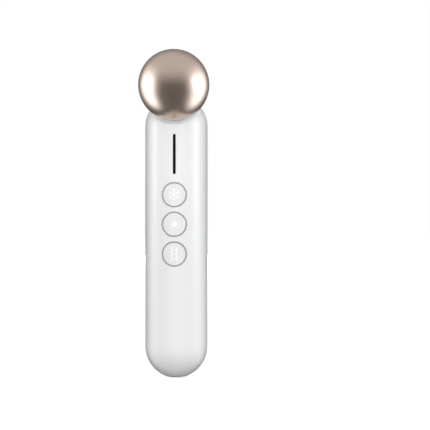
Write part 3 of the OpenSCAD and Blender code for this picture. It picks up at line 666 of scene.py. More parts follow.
def shape_tree(name, sizes):
    """A geometry tree with named sizes, its inputs and its output."""
    tree = bpy.data.node_groups.new(name, "GeometryNodeTree")
    for label, kind in (("Geometry", SHAPE), *sizes):
        tree.interface.new_socket(label, in_out="INPUT", socket_type=kind)
    tree.interface.new_socket("Geometry", in_out="OUTPUT", socket_type=SHAPE)
    return tree, tree.nodes.new("NodeGroupInput").outputs, tree.nodes.new("NodeGroupOutput").inputs


def finished(tree, shape, given, result):
    """Ends a geometry tree with plain mesh in its finish."""
    real = add_node(tree, "GeometryNodeRealizeInstances", {"Geometry": shape}).outputs[0]
    painted = add_node(tree, "GeometryNodeSetMaterial", {"Geometry": real, "Material": given["Finish"]})
    tree.links.new(painted.outputs[0], result["Geometry"])
    return tree


def shaped(name, tree, start, sizes, frame_of=None):
    """The piece that a tree makes of a start mesh with its sizes set, placed by a matrix."""
    obj = bpy.data.objects.new(name, start)
    bpy.context.scene.collection.objects.link(obj)
    modifier = obj.modifiers.new(tree.name, "NODES")
    modifier.node_group = tree
    for item in tree.interface.items_tree:
        if item.in_out == "INPUT" and item.name in sizes:
            modifier[item.identifier] = sizes[item.name]
    mesh = bpy.data.meshes.new_from_object(obj.evaluated_get(bpy.context.evaluated_depsgraph_get()))
    obj.modifiers.clear()
    obj.data = mesh
    mesh.name = name
    if frame_of:
        mesh.transform(frame_of)
    body = bmesh.new()
    body.from_mesh(mesh)
    bmesh.ops.recalc_face_normals(body, faces=body.faces)
    body.to_mesh(mesh)
    body.free()
    mesh.shade_smooth()
    mesh.set_sharp_from_angle(angle=math.radians(SHARP))
    exact = mesh.attributes.get("exact_normal")
    if exact:
        turned = frame_of.to_3x3() if frame_of else Matrix.Identity(3)
        mesh.normals_split_custom_set_from_vertices([tuple(turned @ Vector(d.vector)) for d in exact.data])
        mesh.attributes.remove(mesh.attributes["exact_normal"])
    return obj


# ---- revolved pieces ----

BALL_STEPS = 96
BALL_TURNS = 180
GASKET_STEPS = 12
MERGE = 0.001 * MM


def revolved_tree():
    """Turns a half profile, radius along X and height along Z, round the Z axis."""
    sizes = (("Turns", COUNT), ("Weld", NUMBER), ("Finish", FINISH))
    tree, given, result = shape_tree("revolved piece", sizes)
    profile = given["Geometry"]
    size = add_node(tree, "GeometryNodeAttributeDomainSize", {"Geometry": profile}, component="MESH")
    count = size.outputs["Point Count"]
    columns = reckon(tree, "ADD", given["Turns"], 1)
    inputs = {"Vertices X": columns, "Vertices Y": count}
    grid = add_node(tree, "GeometryNodeMeshGrid", inputs).outputs["Mesh"]
    index = add_node(tree, "GeometryNodeInputIndex").outputs[0]
    column = reckon(tree, "FLOOR", reckon(tree, "DIVIDE", index, count))
    step = reckon(tree, "DIVIDE", 2 * math.pi, given["Turns"])
    angle = reckon(tree, "MULTIPLY", column, step)

    def of_profile(value, kind):
        inputs = {"Geometry": profile, "Value": value, "Index": reckon(tree, "MODULO", index, count)}
        return socket(add_node(tree, "GeometryNodeSampleIndex", inputs, data_type=kind).outputs, "Value")

    def named(name, kind):
        found = add_node(tree, "GeometryNodeInputNamedAttribute", {"Name": name}, data_type=kind)
        return socket(found.outputs, "Attribute")

    def turned(vector):
        inputs = {"Vector": vector, "Angle": angle}
        return add_node(tree, "ShaderNodeVectorRotate", inputs, rotation_type="Z_AXIS").outputs[0]

    place = add_node(tree, "GeometryNodeInputPosition").outputs[0]
    normal = turned(of_profile(named("exact_normal", "FLOAT_VECTOR"), "FLOAT_VECTOR"))
    wear_and_highlight = of_profile(named("edge_wear", "FLOAT"), "FLOAT")
    shape = add_node(
        tree, "GeometryNodeSetPosition",
        {"Geometry": grid, "Position": turned(of_profile(place, "FLOAT_VECTOR"))},
    ).outputs[0]
    for name, kind, value in (("exact_normal", "FLOAT_VECTOR", normal), ("edge_wear", "FLOAT", wear_and_highlight)):
        inputs = {"Geometry": shape, "Name": name, "Value": value}
        shape = add_node(tree, "GeometryNodeStoreNamedAttribute", inputs, data_type=kind).outputs[0]
    welded = add_node(tree, "GeometryNodeMergeByDistance", {"Geometry": shape, "Distance": given["Weld"]})
    smooth = add_node(tree, "GeometryNodeSetShadeSmooth", {"Geometry": welded.outputs[0]})
    return finished(tree, smooth.outputs[0], given, result)


def profile_mesh(name, rows):
    """A polyline of (radius, height, slope out, slope up, wear) as a mesh of edges."""
    mesh = bpy.data.meshes.new(name)
    mesh.from_pydata([(row[0], 0, row[1]) for row in rows], [(i, i + 1) for i in range(len(rows) - 1)], [])
    mesh.attributes.new("exact_normal", "FLOAT_VECTOR", "POINT")
    mesh.attributes.new("edge_wear", "FLOAT", "POINT")
    for i, (_, _, out, up, edge_wear) in enumerate(rows):
        mesh.attributes["exact_normal"].data[i].vector = (out, 0, up)
        mesh.attributes["edge_wear"].data[i].value = edge_wear
    return mesh


def arc(middle, radius, first, last, steps, side=1, wear_and_highlight=0.0):
    """Profile points on an arc round (radius, height), by angles from straight up.

    side is -1 where the material lies outside the arc.
    """
    rows = []
    for k in range(steps + 1):
        a = first + (last - first) * k / steps
        out, up = math.sin(a), math.cos(a)
        wear_here = wear_and_highlight * math.sin(math.pi * k / steps)
        rows.append((middle[0] + radius * out, middle[1] + radius * up, side * out, side * up, wear_here))
    return rows


def massage_ball(tree):
    """The hollow ball with its short neck."""
    inner_r = BALL_R - BALL_WALL
    low = PLATE_LOW + NECK_GAP
    middle = (0, BALL_REACH)
    rows = arc(middle, BALL_R, 0, math.pi - math.asin(NECK_R / BALL_R), BALL_STEPS)
    rows += [(NECK_R, low, 0, 0, 0.0), (NECK_BORE_R, low, 0, 0, 0.0)]
    rows += arc(middle, inner_r, math.pi - math.asin(NECK_BORE_R / inner_r), 0, BALL_STEPS // 2, side=-1)
    sizes = {"Turns": BALL_TURNS, "Weld": MERGE, "Finish": FINISHES["ball_metal"]}
    return shaped("polished_massage_ball", tree, profile_mesh("ball profile", rows), sizes, BALL_FRAME)


def bulge(first, last, radius, steps):
    """Profile points on an arc from one point to another, its hollow side towards the axis."""
    first, last = Vector(first), Vector(last)
    chord = last - first
    out = Vector((chord.y, -chord.x)).normalized()
    middle = (first + last) / 2 - out * math.sqrt(radius**2 - chord.length_squared / 4)
    turns = [math.atan2(*(place - middle)) for place in (first, last)]
    return arc(middle, radius, *turns, steps)


def seat_gasket(tree):
    """The soft ring in the seat, dished to the ball, with a collar up to it over the seat's rim."""
    dish_r = BALL_R + GASKET_GAP
    tip = math.pi - math.asin(COLLAR_R / dish_r)
    dish = arc((0, BALL_REACH), dish_r, tip, math.pi - math.asin(NECK_HOLE_R / dish_r), GASKET_STEPS, side=-1)
    rim = (seat_rim_r(), SEAT_W - SEAT_ROUND)
    under = arc(rim, SEAT_ROUND + LIP_LIFT, LIP_TURN, 0, GASKET_STEPS)
    lip_end = arc(rim, SEAT_ROUND + LIP_T, LIP_TURN, 0, 1)[0][:2]
    collar = bulge(lip_end, dish[0][:2], COLLAR_BULGE_R, GASKET_STEPS)
    rows = [(NECK_HOLE_R, RECESS_LOW, 0, 0, 0.0), (GASKET_R, RECESS_LOW, 0, 0, 0.0)]
    rows += [(GASKET_R, SEAT_W + LIP_LIFT, 0, 0, 0.0)]
    rows += [(*row[:2], 0, 0, 0.0) for row in reversed(under)]
    rows += [*collar[:-1], (*collar[-1][:2], 0, 0, GASKET_WEAR), *dish[1:], rows[0]]
    sizes = {"Turns": SEAT_STEPS, "Weld": MERGE, "Finish": FINISHES["gasket_silicone"]}
    return shaped("ball_seat_gasket", tree, profile_mesh("gasket profile", rows), sizes, BALL_FRAME)


# ---- what is laid on the front of the grip ----

TRIM_EDGE = 0.07 * MM
TRIM_EDGE_STEPS = 3
TRIM_STEPS = 120
STROKE_END_STEPS = 14
STROKE_HALVINGS = 2
DOT_STEPS = 48
DOT_RINGS = 6
# Points of a symbol closer than this are one, because crossing strokes leave slivers
PRINT_WELD = 0.008 * MM
# Turns what is drawn level to stand in the XZ plane
UPRIGHT = (math.pi / 2, 0, 0)


def laying_group():
    """Bends what lies in the XZ plane, its depth along Y, onto the front of the grip."""
    tree, given, result = shape_tree("lay on the grip", (("Grip Radius", NUMBER),))
    place = add_node(tree, "GeometryNodeInputPosition").outputs[0]
    x, y, z = add_node(tree, "ShaderNodeSeparateXYZ", {0: place}).outputs
    squared = reckon(tree, "MULTIPLY", given["Grip Radius"], given["Grip Radius"])
    reach = reckon(tree, "SQRT", reckon(tree, "SUBTRACT", squared, reckon(tree, "MULTIPLY", x, x)))
    inputs = {0: x, 1: reckon(tree, "SUBTRACT", y, reach), 2: z}
    laid = add_node(tree, "ShaderNodeCombineXYZ", inputs).outputs[0]
    shape = add_node(tree, "GeometryNodeSetPosition", {"Geometry": given["Geometry"], "Position": laid})
    tree.links.new(shape.outputs[0], result["Geometry"])
    return tree


def lay(tree, group, shape, radius):
    """Puts a shape through the laying group."""
    made = add_node(tree, "GeometryNodeGroup", None, node_tree=group)
    tree.links.new(shape, made.inputs["Geometry"])
    tree.links.new(radius, made.inputs["Grip Radius"])
    return made.outputs[0]


def trim_ring_tree(group):
    """A column of rings, each a rounded bar bent round a button."""
    sizes = ("Ring Radius", "Width", "Depth", "Edge", "Pitch", "Top", "Grip Radius")
    tree, given, result = shape_tree(
        "trim rings", (*((name, NUMBER) for name in sizes), ("Rings", COUNT), ("Finish", FINISH))
    )
    inputs = {"Resolution": TRIM_STEPS, "Radius": given["Ring Radius"]}
    path = add_node(tree, "GeometryNodeCurvePrimitiveCircle", inputs)
    bar = add_node(
        tree, "GeometryNodeCurvePrimitiveQuadrilateral", {"Width": given["Width"], "Height": given["Depth"]}
    )
    rounded = add_node(
        tree, "GeometryNodeFilletCurve",
        {"Curve": bar.outputs[0], "Count": TRIM_EDGE_STEPS, "Radius": given["Edge"]}, mode="POLY",
    )
    ring = add_node(
        tree, "GeometryNodeCurveToMesh", {"Curve": path.outputs[0], "Profile Curve": rounded.outputs[0]}
    ).outputs[0]
    sunk = add_node(tree, "ShaderNodeCombineXYZ", {1: reckon(tree, "DIVIDE", given["Depth"], 2)}).outputs[0]
    inputs = {"Geometry": ring, "Translation": sunk, "Rotation": UPRIGHT}
    upright = add_node(tree, "GeometryNodeTransform", inputs).outputs[0]
    top = add_node(tree, "ShaderNodeCombineXYZ", {2: given["Top"]}).outputs[0]
    lower = reckon(tree, "MULTIPLY", given["Pitch"], -1)
    down = add_node(tree, "ShaderNodeCombineXYZ", {2: lower}).outputs[0]
    column = add_node(
        tree, "GeometryNodeMeshLine", {"Count": given["Rings"], "Start Location": top, "Offset": down}
    ).outputs[0]
    rings = add_node(tree, "GeometryNodeInstanceOnPoints", {"Points": column, "Instance": upright}).outputs[0]
    real = add_node(tree, "GeometryNodeRealizeInstances", {"Geometry": rings}).outputs[0]
    return finished(tree, lay(tree, group, real, given["Grip Radius"]), given, result)


def trim_rings(group):
    """The three grey rings round the buttons."""
    sizes = {
        "Ring Radius": TRIM_R, "Width": TRIM_W, "Depth": TRIM_T, "Edge": TRIM_EDGE, "Pitch": KEY_PITCH,
        "Top": KEY_ZS[0], "Grip Radius": GRIP_R, "Rings": len(KEYS), "Finish": FINISHES["trim_grey"],
    }
    return shaped("button_trim_ring_set", trim_ring_tree(group), bpy.data.meshes.new("rings"), sizes)


def symbol_tree(group):
    """A printed symbol: strokes with round ends, copied round its middle, and a dot."""
    sizes = ("Step", "Stroke Width", "Height", "Dot Radius", "Middle", "Grip Radius")
    tree, given, result = shape_tree(
        "printed symbol", (*((name, NUMBER) for name in sizes), ("Copies", COUNT), ("Finish", FINISH))
    )
    inputs = {"Count": given["Copies"], "Offset": (0, 0, 0)}
    points = add_node(tree, "GeometryNodeMeshLine", inputs).outputs[0]
    index = add_node(tree, "GeometryNodeInputIndex").outputs[0]
    angle = reckon(tree, "MULTIPLY", index, given["Step"])
    turn = add_node(tree, "ShaderNodeCombineXYZ", {2: angle}).outputs[0]
    inputs = {"Points": points, "Instance": given["Geometry"], "Rotation": turn}
    copies = add_node(tree, "GeometryNodeInstanceOnPoints", inputs).outputs[0]
    lines = add_node(tree, "GeometryNodeRealizeInstances", {"Geometry": copies}).outputs[0]
    inputs = {"Mesh": lines, "Level": STROKE_HALVINGS}
    fine = add_node(tree, "GeometryNodeSubdivideMesh", inputs).outputs[0]
    paths = add_node(tree, "GeometryNodeMeshToCurve", {"Mesh": fine}).outputs[0]
    level = add_node(tree, "GeometryNodeSetCurveNormal", {"Curve": paths}, mode="Z_UP").outputs[0]
    thick = reckon(tree, "MULTIPLY", given["Height"], 2)
    bar = add_node(
        tree, "GeometryNodeCurvePrimitiveQuadrilateral", {"Width": given["Stroke Width"], "Height": thick}
    ).outputs[0]
    strokes = add_node(
        tree, "GeometryNodeCurveToMesh", {"Curve": level, "Profile Curve": bar, "Fill Caps": True}
    ).outputs[0]
    half_width = reckon(tree, "DIVIDE", given["Stroke Width"], 2)
    inputs = {"Vertices": STROKE_END_STEPS, "Radius": half_width, "Depth": thick}
    disc = add_node(tree, "GeometryNodeMeshCylinder", inputs).outputs["Mesh"]
    ends = add_node(tree, "GeometryNodeInstanceOnPoints", {"Points": lines, "Instance": disc}).outputs[0]
    discs = add_node(tree, "GeometryNodeRealizeInstances", {"Geometry": ends}).outputs[0]
    both = add_node(tree, "GeometryNodeJoinGeometry")
    tree.links.new(strokes, both.inputs[0])
    tree.links.new(discs, both.inputs[0])
    inputs = {"Self Intersection": True}
    merged = add_node(tree, "GeometryNodeMeshBoolean", inputs, operation="UNION", solver="EXACT")
    tree.links.new(both.outputs[0], socket(merged.inputs, "Mesh"))
    radius = given["Dot Radius"]
    inputs = {"Vertices": DOT_STEPS, "Fill Segments": DOT_RINGS, "Radius": radius, "Depth": thick}
    dot = add_node(tree, "GeometryNodeMeshCylinder", inputs).outputs["Mesh"]
    inputs = {"A": radius, "B": 0.0}
    dotted = add_node(tree, "FunctionNodeCompare", inputs, data_type="FLOAT", operation="GREATER_THAN")
    inputs = {"Switch": dotted.outputs[0], "True": dot}
    kept = add_node(tree, "GeometryNodeSwitch", inputs, input_type="GEOMETRY").outputs[0]
    flat = add_node(tree, "GeometryNodeJoinGeometry")
    tree.links.new(socket(merged.outputs, "Mesh"), flat.inputs[0])
    tree.links.new(kept, flat.inputs[0])
    inputs = {"Geometry": flat.outputs[0], "Distance": PRINT_WELD}
    welded = add_node(tree, "GeometryNodeMergeByDistance", inputs)
    faces = add_node(tree, "GeometryNodeInputMeshEdgeNeighbors").outputs[0]
    bare = reckon(tree, "LESS_THAN", faces, 1)
    inputs = {"Geometry": welded.outputs[0], "Selection": bare}
    whole = add_node(tree, "GeometryNodeDeleteGeometry", inputs, domain="EDGE", mode="ALL").outputs[0]
    corners = add_node(tree, "GeometryNodeTriangulate", {"Mesh": whole}).outputs[0]
    middle = add_node(tree, "ShaderNodeCombineXYZ", {2: given["Middle"]}).outputs[0]
    inputs = {"Geometry": corners, "Translation": middle, "Rotation": UPRIGHT}
    upright = add_node(tree, "GeometryNodeTransform", inputs).outputs[0]
    return finished(tree, lay(tree, group, upright, given["Grip Radius"]), given, result)


def stroke_mesh(name, strokes):
    """Separate straight strokes, each from point to point in millimetres, as a mesh of edges."""
    ends = [(x * MM, y * MM, 0) for stroke in strokes for x, y in stroke]
    mesh = bpy.data.meshes.new(name)
    mesh.from_pydata(ends, [(i, i + 1) for i in range(0, len(ends), 2)], [])
    return mesh


def printed_symbols(group):
    """Snowflake, sun and two mirrored waves, one on each button."""
    tree = symbol_tree(group)
    fork = (0, ARM_FORK)
    tips = [(-ARM_SPREAD, ARM_TIP), (0, ARM_TIP), (ARM_SPREAD, ARM_TIP)]
    arm = [((0, ARM_START), fork), *((fork, tip) for tip in tips)]
    ray = [((0, RAY_START), (0, RAY_END))]
    places = [(WAVE_NEAR if k % 2 else WAVE_FAR, WAVE_TOP - k * WAVE_STEP) for k in range(WAVE_TURNS + 1)]
    wave = list(zip(places, places[1:]))
    waves = [*wave, *(((-x, y), (-u, v)) for (x, y), (u, v) in wave)]
    plans = {
        "cold": (arm, ARMS, ARM_W, 0), "heat": (ray, RAYS, RAY_W, SUN_R), "vibration": (waves, 1, WAVE_W, 0)
    }
    prints = []
    for key, z in zip(KEYS, KEY_ZS):
        strokes, copies, width, dot = plans[key]
        sizes = {
            "Step": 2 * math.pi / copies, "Stroke Width": width * MM, "Height": PRINT_T,
            "Dot Radius": dot * MM, "Middle": z, "Grip Radius": GRIP_R, "Copies": copies,
            "Finish": FINISHES["symbol_print"],
        }
        prints.append((f"{key}_key", shaped(f"{key}_symbol_print", tree, stroke_mesh(key, strokes), sizes)))
    return prints


# ---- effects shared by several finishes ----

COLOUR, VECTOR = "NodeSocketColor", "NodeSocketVector"
# A size is in patterns per metre, and a range holds the noise values between which a mark fades in
FINE_CLOUDS, BROAD_SHARE = 14, 0.75
WEAR_SIZE, WEAR_RANGE = 420, (0.35, 0.65)
SMEAR_RANGE = (0.45, 0.75)
SCRATCH_SIZE, SCRATCH_RANGE = 2600, (0.7, 0.78)
# Directions in which scratches run, and how many times longer than wide they are
SCRATCH_RUNS = (((0.3, 0.5, 0.2), 9), ((-0.5, 0.2, 1.1), 14))
WALL_WAVE = 0.012
BRUSH_STRETCH, BRUSH_BANDS, BRUSH_RANGE = 0.04, 0.3, (0.3, 0.7)


def effect_tree(name, takes, gives):
    """A shader group with named inputs, its inputs and its outputs."""
    tree = bpy.data.node_groups.new(name, "ShaderNodeTree")
    tree.interface.new_socket("Place", in_out="INPUT", socket_type=VECTOR)
    for label, kind, start in takes:
        tree.interface.new_socket(label, in_out="INPUT", socket_type=kind).default_value = start
    for label, kind in gives:
        tree.interface.new_socket(label, in_out="OUTPUT", socket_type=kind)
    return tree, tree.nodes.new("NodeGroupInput").outputs, tree.nodes.new("NodeGroupOutput").inputs


def noise(tree, place, scale, detail=2.0, distortion=0.0):
    """Smooth noise around 0.5, by patterns per metre."""
    inputs = {"Vector": place, "Scale": scale, "Detail": detail, "Distortion": distortion}
    return add_node(tree, "ShaderNodeTexNoise", inputs).outputs[0]


def stretched(tree, place, scale, turn=(0, 0, 0)):
    """A place turned and then stretched, so that a pattern on it runs one way."""
    inputs = {"Vector": place, "Rotation": turn, "Scale": scale}
    return add_node(tree, "ShaderNodeMapping", inputs).outputs[0]


def ranged(tree, value, low, high, start=0.0, end=1.0):
    """A value from low to high brought to the range from start to end, held at both."""
    inputs = {"Value": value, "From Min": low, "From Max": high, "To Min": start, "To Max": end}
    return add_node(tree, "ShaderNodeMapRange", inputs, interpolation_type="SMOOTHSTEP").outputs[0]


def mixed(tree, share, first, second):
    """A colour between two."""
    made = add_node(tree, "ShaderNodeMix", {"Factor": share, "A": first, "B": second}, data_type="RGBA")
    return socket(made.outputs, "Result")


def tone_drift():
    """A colour that is a little darker here and there, in broad clouds and in fine ones."""
    takes = (("Color", COLOUR, (1, 1, 1, 1)), ("Shift", NUMBER, 0.03), ("Size", NUMBER, 40.0))
    tree, given, result = effect_tree("tone drift", takes, (("Color", COLOUR),))
    broad = noise(tree, given["Place"], given["Size"], detail=2)
    fine = noise(tree, given["Place"], reckon(tree, "MULTIPLY", given["Size"], FINE_CLOUDS), detail=2)
    broad_part = reckon(tree, "MULTIPLY", broad, BROAD_SHARE)
    clouds = reckon(tree, "ADD", broad_part, reckon(tree, "MULTIPLY", fine, 1 - BROAD_SHARE))
    share = reckon(tree, "SUBTRACT", 1, reckon(tree, "MULTIPLY", clouds, given["Shift"]))
    darker = add_node(tree, "ShaderNodeVectorMath", {0: given["Color"], "Scale": share}, operation="SCALE")
    tree.links.new(darker.outputs[0], result["Color"])
    return tree


def edge_wear():
    """Where an edge is rubbed, from the piece's own edge values and broken up by noise. On the buttons' rims
    the same mask places a painted highlight.
    """
    tree, given, result = effect_tree("edge wear", (("Amount", NUMBER, 0.6),), (("Mask", NUMBER),))
    edge = add_node(tree, "ShaderNodeAttribute", attribute_name="edge_wear").outputs["Fac"]
    patches = ranged(tree, noise(tree, given["Place"], WEAR_SIZE, detail=4), *WEAR_RANGE)
    rubbed = reckon(tree, "MULTIPLY", edge, reckon(tree, "MULTIPLY", patches, given["Amount"]), clamp=True)
    tree.links.new(rubbed, result["Mask"])
    return tree


def handling_marks():
    """Faint smears of handling, and the hairline scratches that come with them."""
    gives = (("Smear", NUMBER), ("Scratch", NUMBER))
    tree, given, result = effect_tree("handling marks", (("Size", NUMBER, 70.0),), gives)
    clouds = noise(tree, given["Place"], given["Size"], detail=3, distortion=0.6)
    smear = ranged(tree, clouds, *SMEAR_RANGE)
    lines = []
    for turn, length in SCRATCH_RUNS:
        along = stretched(tree, given["Place"], (1, 1, 1 / length), turn)
        lines.append(ranged(tree, noise(tree, along, SCRATCH_SIZE, detail=1), *SCRATCH_RANGE))
    patchy = reckon(tree, "MULTIPLY", reckon(tree, "MAXIMUM", *lines), smear)
    tree.links.new(smear, result["Smear"])
    tree.links.new(patchy, result["Scratch"])
    return tree


def mould_texture():
    """Fine grain that the tool leaves in a moulding, over the slow waves of its walls."""
    gives = (("Height", NUMBER), ("Wave", NUMBER))
    tree, given, result = effect_tree("mould texture", (("Grain", NUMBER, 2200.0),), gives)
    grain = noise(tree, given["Place"], given["Grain"], detail=3)
    wave = noise(tree, given["Place"], reckon(tree, "MULTIPLY", given["Grain"], WALL_WAVE), detail=1)
    tree.links.new(grain, result["Height"])
    tree.links.new(wave, result["Wave"])
    return tree


def brushed_lines():
    """Fine lines of brushing along Z, with their own shade."""
    gives = (("Height", NUMBER), ("Shade", NUMBER))
    tree, given, result = effect_tree("brushed lines", (("Density", NUMBER, 3000.0),), gives)
    along = stretched(tree, given["Place"], (1, 1, BRUSH_STRETCH))
    lines = noise(tree, along, given["Density"], detail=3)
    bands = noise(tree, along, reckon(tree, "MULTIPLY", given["Density"], BRUSH_BANDS), detail=2)
    shade = ranged(tree, bands, *BRUSH_RANGE)
    tree.links.new(lines, result["Height"])
    tree.links.new(shade, result["Shade"])
    return tree


EFFECT_TREES = (tone_drift(), edge_wear(), handling_marks(), mould_texture(), brushed_lines())
EFFECTS = {tree.name: tree for tree in EFFECT_TREES}


class Finish:
    """One material while it is built, from its base colour up to its relief."""

    def __init__(self, name, colour, roughness, metallic=0.0, **settings):
        self.name = name
        self.material = bpy.data.materials.new(f"{name} finish")
        self.material.use_nodes = True
        self.tree = self.material.node_tree
        self.shader = self.tree.nodes["Principled BSDF"]
        self.shader.inputs["Metallic"].default_value = metallic
        for label, value in settings.items():
            self.shader.inputs[label.replace("_", " ")].default_value = value
        self.place = add_node(self.tree, "ShaderNodeTexCoord").outputs["Object"]
        self.colour = (*colour, 1)
        self.roughness = roughness
        self.height = 0.0

    def effect(self, name, **inputs):
        made = add_node(self.tree, "ShaderNodeGroup", node_tree=EFFECTS[name])
        self.tree.links.new(self.place, made.inputs["Place"])
        for label, value in inputs.items():
            if isinstance(value, bpy.types.NodeSocket):
                self.tree.links.new(value, made.inputs[label])
            else:
                made.inputs[label].default_value = value
        return made.outputs

    def drift(self, shift, size=40.0):
        """Clouds in the colour."""
        self.colour = self.effect("tone drift", Color=self.colour, Shift=shift, Size=size)["Color"]
        return self

    def tint(self, mask, colour, share=1.0):
        """Another colour where the mask is."""
        self.colour = mixed(self.tree, reckon(self.tree, "MULTIPLY", mask, share), self.colour, (*colour, 1))
        return self

    def rougher(self, mask, amount):
        """More roughness, or less, where the mask is."""
        self.roughness = reckon(self.tree, "ADD", self.roughness, reckon(self.tree, "MULTIPLY", mask, amount))
        return self

    def relief(self, mask, depth):
        """Height where the mask is."""
        self.height = reckon(self.tree, "ADD", self.height, reckon(self.tree, "MULTIPLY", mask, depth))
        return self

    def wear_and_highlight(self, colour, amount, polish=-0.08):
        """Rubbed edges, with their own colour and polish. A near-white colour, as on the buttons, is a
        painted highlight.
        """
        mask = self.effect("edge wear", Amount=amount)["Mask"]
        return self.tint(mask, colour).rougher(mask, polish)

    def handled(self, smear, scratch, size=70.0):
        """Smears in the roughness and hairlines in the relief."""
        marks = self.effect("handling marks", Size=size)
        return self.rougher(marks["Smear"], smear).relief(marks["Scratch"], -scratch)

    def moulded(self, grain, depth, wave=0.0):
        """Grain of a tool, and the wave of a wall."""
        texture = self.effect("mould texture", Grain=grain)
        self.relief(texture["Height"], depth)
        return self.relief(texture["Wave"], wave) if wave else self

    def brushed(self, density, depth, shade=0.08):
        """Lines of brushing."""
        lines = self.effect("brushed lines", Density=density)
        return self.relief(lines["Height"], depth).rougher(lines["Shade"], shade)

    def done(self):
        """Joins everything to the shader."""
        for label, value in (("Base Color", self.colour), ("Roughness", self.roughness)):
            if isinstance(value, bpy.types.NodeSocket):
                self.tree.links.new(value, self.shader.inputs[label])
            else:
                self.shader.inputs[label].default_value = value
        if isinstance(self.height, bpy.types.NodeSocket):
            bump = add_node(self.tree, "ShaderNodeBump", {"Height": self.height, "Distance": 1.0})
            self.tree.links.new(bump.outputs[0], self.shader.inputs["Normal"])
        return self.material


# ---- finishes ----
#
# Sizes, grains, densities and scales are in patterns per metre.

MICRON = 0.001 * MM


def white_mouldings():
    """Shell, buttons and the print on them."""
    shell = Finish("shell_white", (0.86, 0.86, 0.86), roughness=0.36, Specular_IOR_Level=0.5)
    shell.drift(shift=0.02, size=30).wear_and_highlight((0.78, 0.77, 0.75), amount=0.35)
    shell.handled(smear=0.06, scratch=0.6 * MICRON)
    shell.moulded(grain=1800, depth=0.5 * MICRON, wave=4 * MICRON)
    button = Finish("button_white", (0.835, 0.835, 0.835), roughness=0.34)
    # The buttons' near-white rim colour is a painted highlight along the rim, broken up by the wear noise.
    button.drift(shift=0.02, size=120).wear_and_highlight((0.98, 0.98, 0.98), amount=1.0, polish=-0.12)
    button.handled(smear=0.08, scratch=0.6 * MICRON, size=220).moulded(grain=2600, depth=0.5 * MICRON)
    ink = Finish("symbol_print", (1.0, 1.0, 1.0), roughness=0.45)
    ink.drift(shift=0.015, size=300).moulded(grain=5200, depth=1.2 * MICRON)
    return [shell, button, ink]


def polished_ball():
    """Champagne metal, polished in small circles and touched by skin."""
    metal = Finish("ball_metal", (0.63, 0.5, 0.425), roughness=0.28, metallic=1.0)
    metal.drift(shift=0.04, size=45).wear_and_highlight((0.7, 0.6, 0.52), amount=0.5)
    metal.handled(smear=0.05, scratch=0.25 * MICRON, size=55)
    circled = stretched(metal.tree, metal.place, scale=(1, 1, 0.2), turn=(0.7, 0.4, 0))
    swirl = noise(metal.tree, circled, scale=3200, detail=3, distortion=1.5)
    metal.rougher(swirl, amount=0.04).relief(swirl, depth=0.12 * MICRON)
    return [metal]


def soft_parts():
    """Gasket, neck seal, motor sleeve and the cell's foam."""
    gasket = Finish("gasket_silicone", (0.72, 0.745, 0.76), roughness=0.5)
    gasket.drift(shift=0.04, size=160).wear_and_highlight((0.82, 0.84, 0.85), amount=0.4, polish=0.1)
    gasket.handled(smear=0.1, scratch=0.4 * MICRON, size=150).moulded(grain=2400, depth=1.5 * MICRON)
    rubber = Finish("black_rubber", (0.02, 0.02, 0.021), roughness=0.62)
    rubber.drift(shift=0.3, size=300).handled(smear=0.12, scratch=0.5 * MICRON, size=200)
    rubber.moulded(grain=3200, depth=3 * MICRON)
    foam = Finish("foam_grey", (0.2, 0.2, 0.21), roughness=0.95)
    inputs = {"Vector": foam.place, "Scale": 2800.0}
    cells = add_node(foam.tree, "ShaderNodeTexVoronoi", inputs).outputs["Distance"]
    pits = ranged(foam.tree, cells, low=0.05, high=0.5)
    foam.drift(shift=0.3, size=200).tint(pits, (0.32, 0.32, 0.33), share=0.6)
    foam.relief(pits, depth=60 * MICRON)
    return [gasket, rubber, foam]


def dark_and_clear_plastics():
    """Trim rings, window, light guide, lamps, chassis and small black parts."""
    trim = Finish("trim_grey", (0.4, 0.4, 0.405), roughness=0.36)
    trim.drift(shift=0.1, size=200).wear_and_highlight((0.4, 0.4, 0.4), amount=0.6)
    trim.handled(smear=0.08, scratch=0.4 * MICRON, size=160).moulded(grain=3800, depth=0.8 * MICRON)
    window = Finish("window_black", (0.006, 0.006, 0.007), roughness=0.12)
    window.drift(shift=0.4, size=120).wear_and_highlight((0.03, 0.03, 0.03), amount=0.3)
    window.handled(smear=0.08, scratch=0.4 * MICRON, size=180)
    glass = {"Transmission_Weight": 1.0, "IOR": 1.49}
    clear = Finish("clear_plastic", (0.95, 0.96, 0.96), roughness=0.12, **glass)
    clear.drift(shift=0.03, size=200).handled(smear=0.1, scratch=0.5 * MICRON, size=150)
    clear.moulded(grain=2600, depth=0.8 * MICRON)
    lamp = Finish("lamp_yellow", (0.86, 0.68, 0.2), roughness=0.3)
    lamp.drift(shift=0.15, size=900).moulded(grain=5200, depth=3 * MICRON)
    chassis = Finish("chassis_grey", (0.3, 0.31, 0.32), roughness=0.5)
    chassis.drift(shift=0.08, size=60).wear_and_highlight((0.45, 0.45, 0.45), amount=0.5)
    chassis.handled(smear=0.08, scratch=0.8 * MICRON)
    chassis.moulded(grain=1500, depth=4 * MICRON, wave=9 * MICRON)
    black = Finish("black_plastic", (0.02, 0.02, 0.02), roughness=0.42)
    black.drift(shift=0.25, size=400).handled(smear=0.1, scratch=0.6 * MICRON, size=260)
    black.moulded(grain=4200, depth=2 * MICRON)
    return [trim, window, clear, lamp, chassis, black]


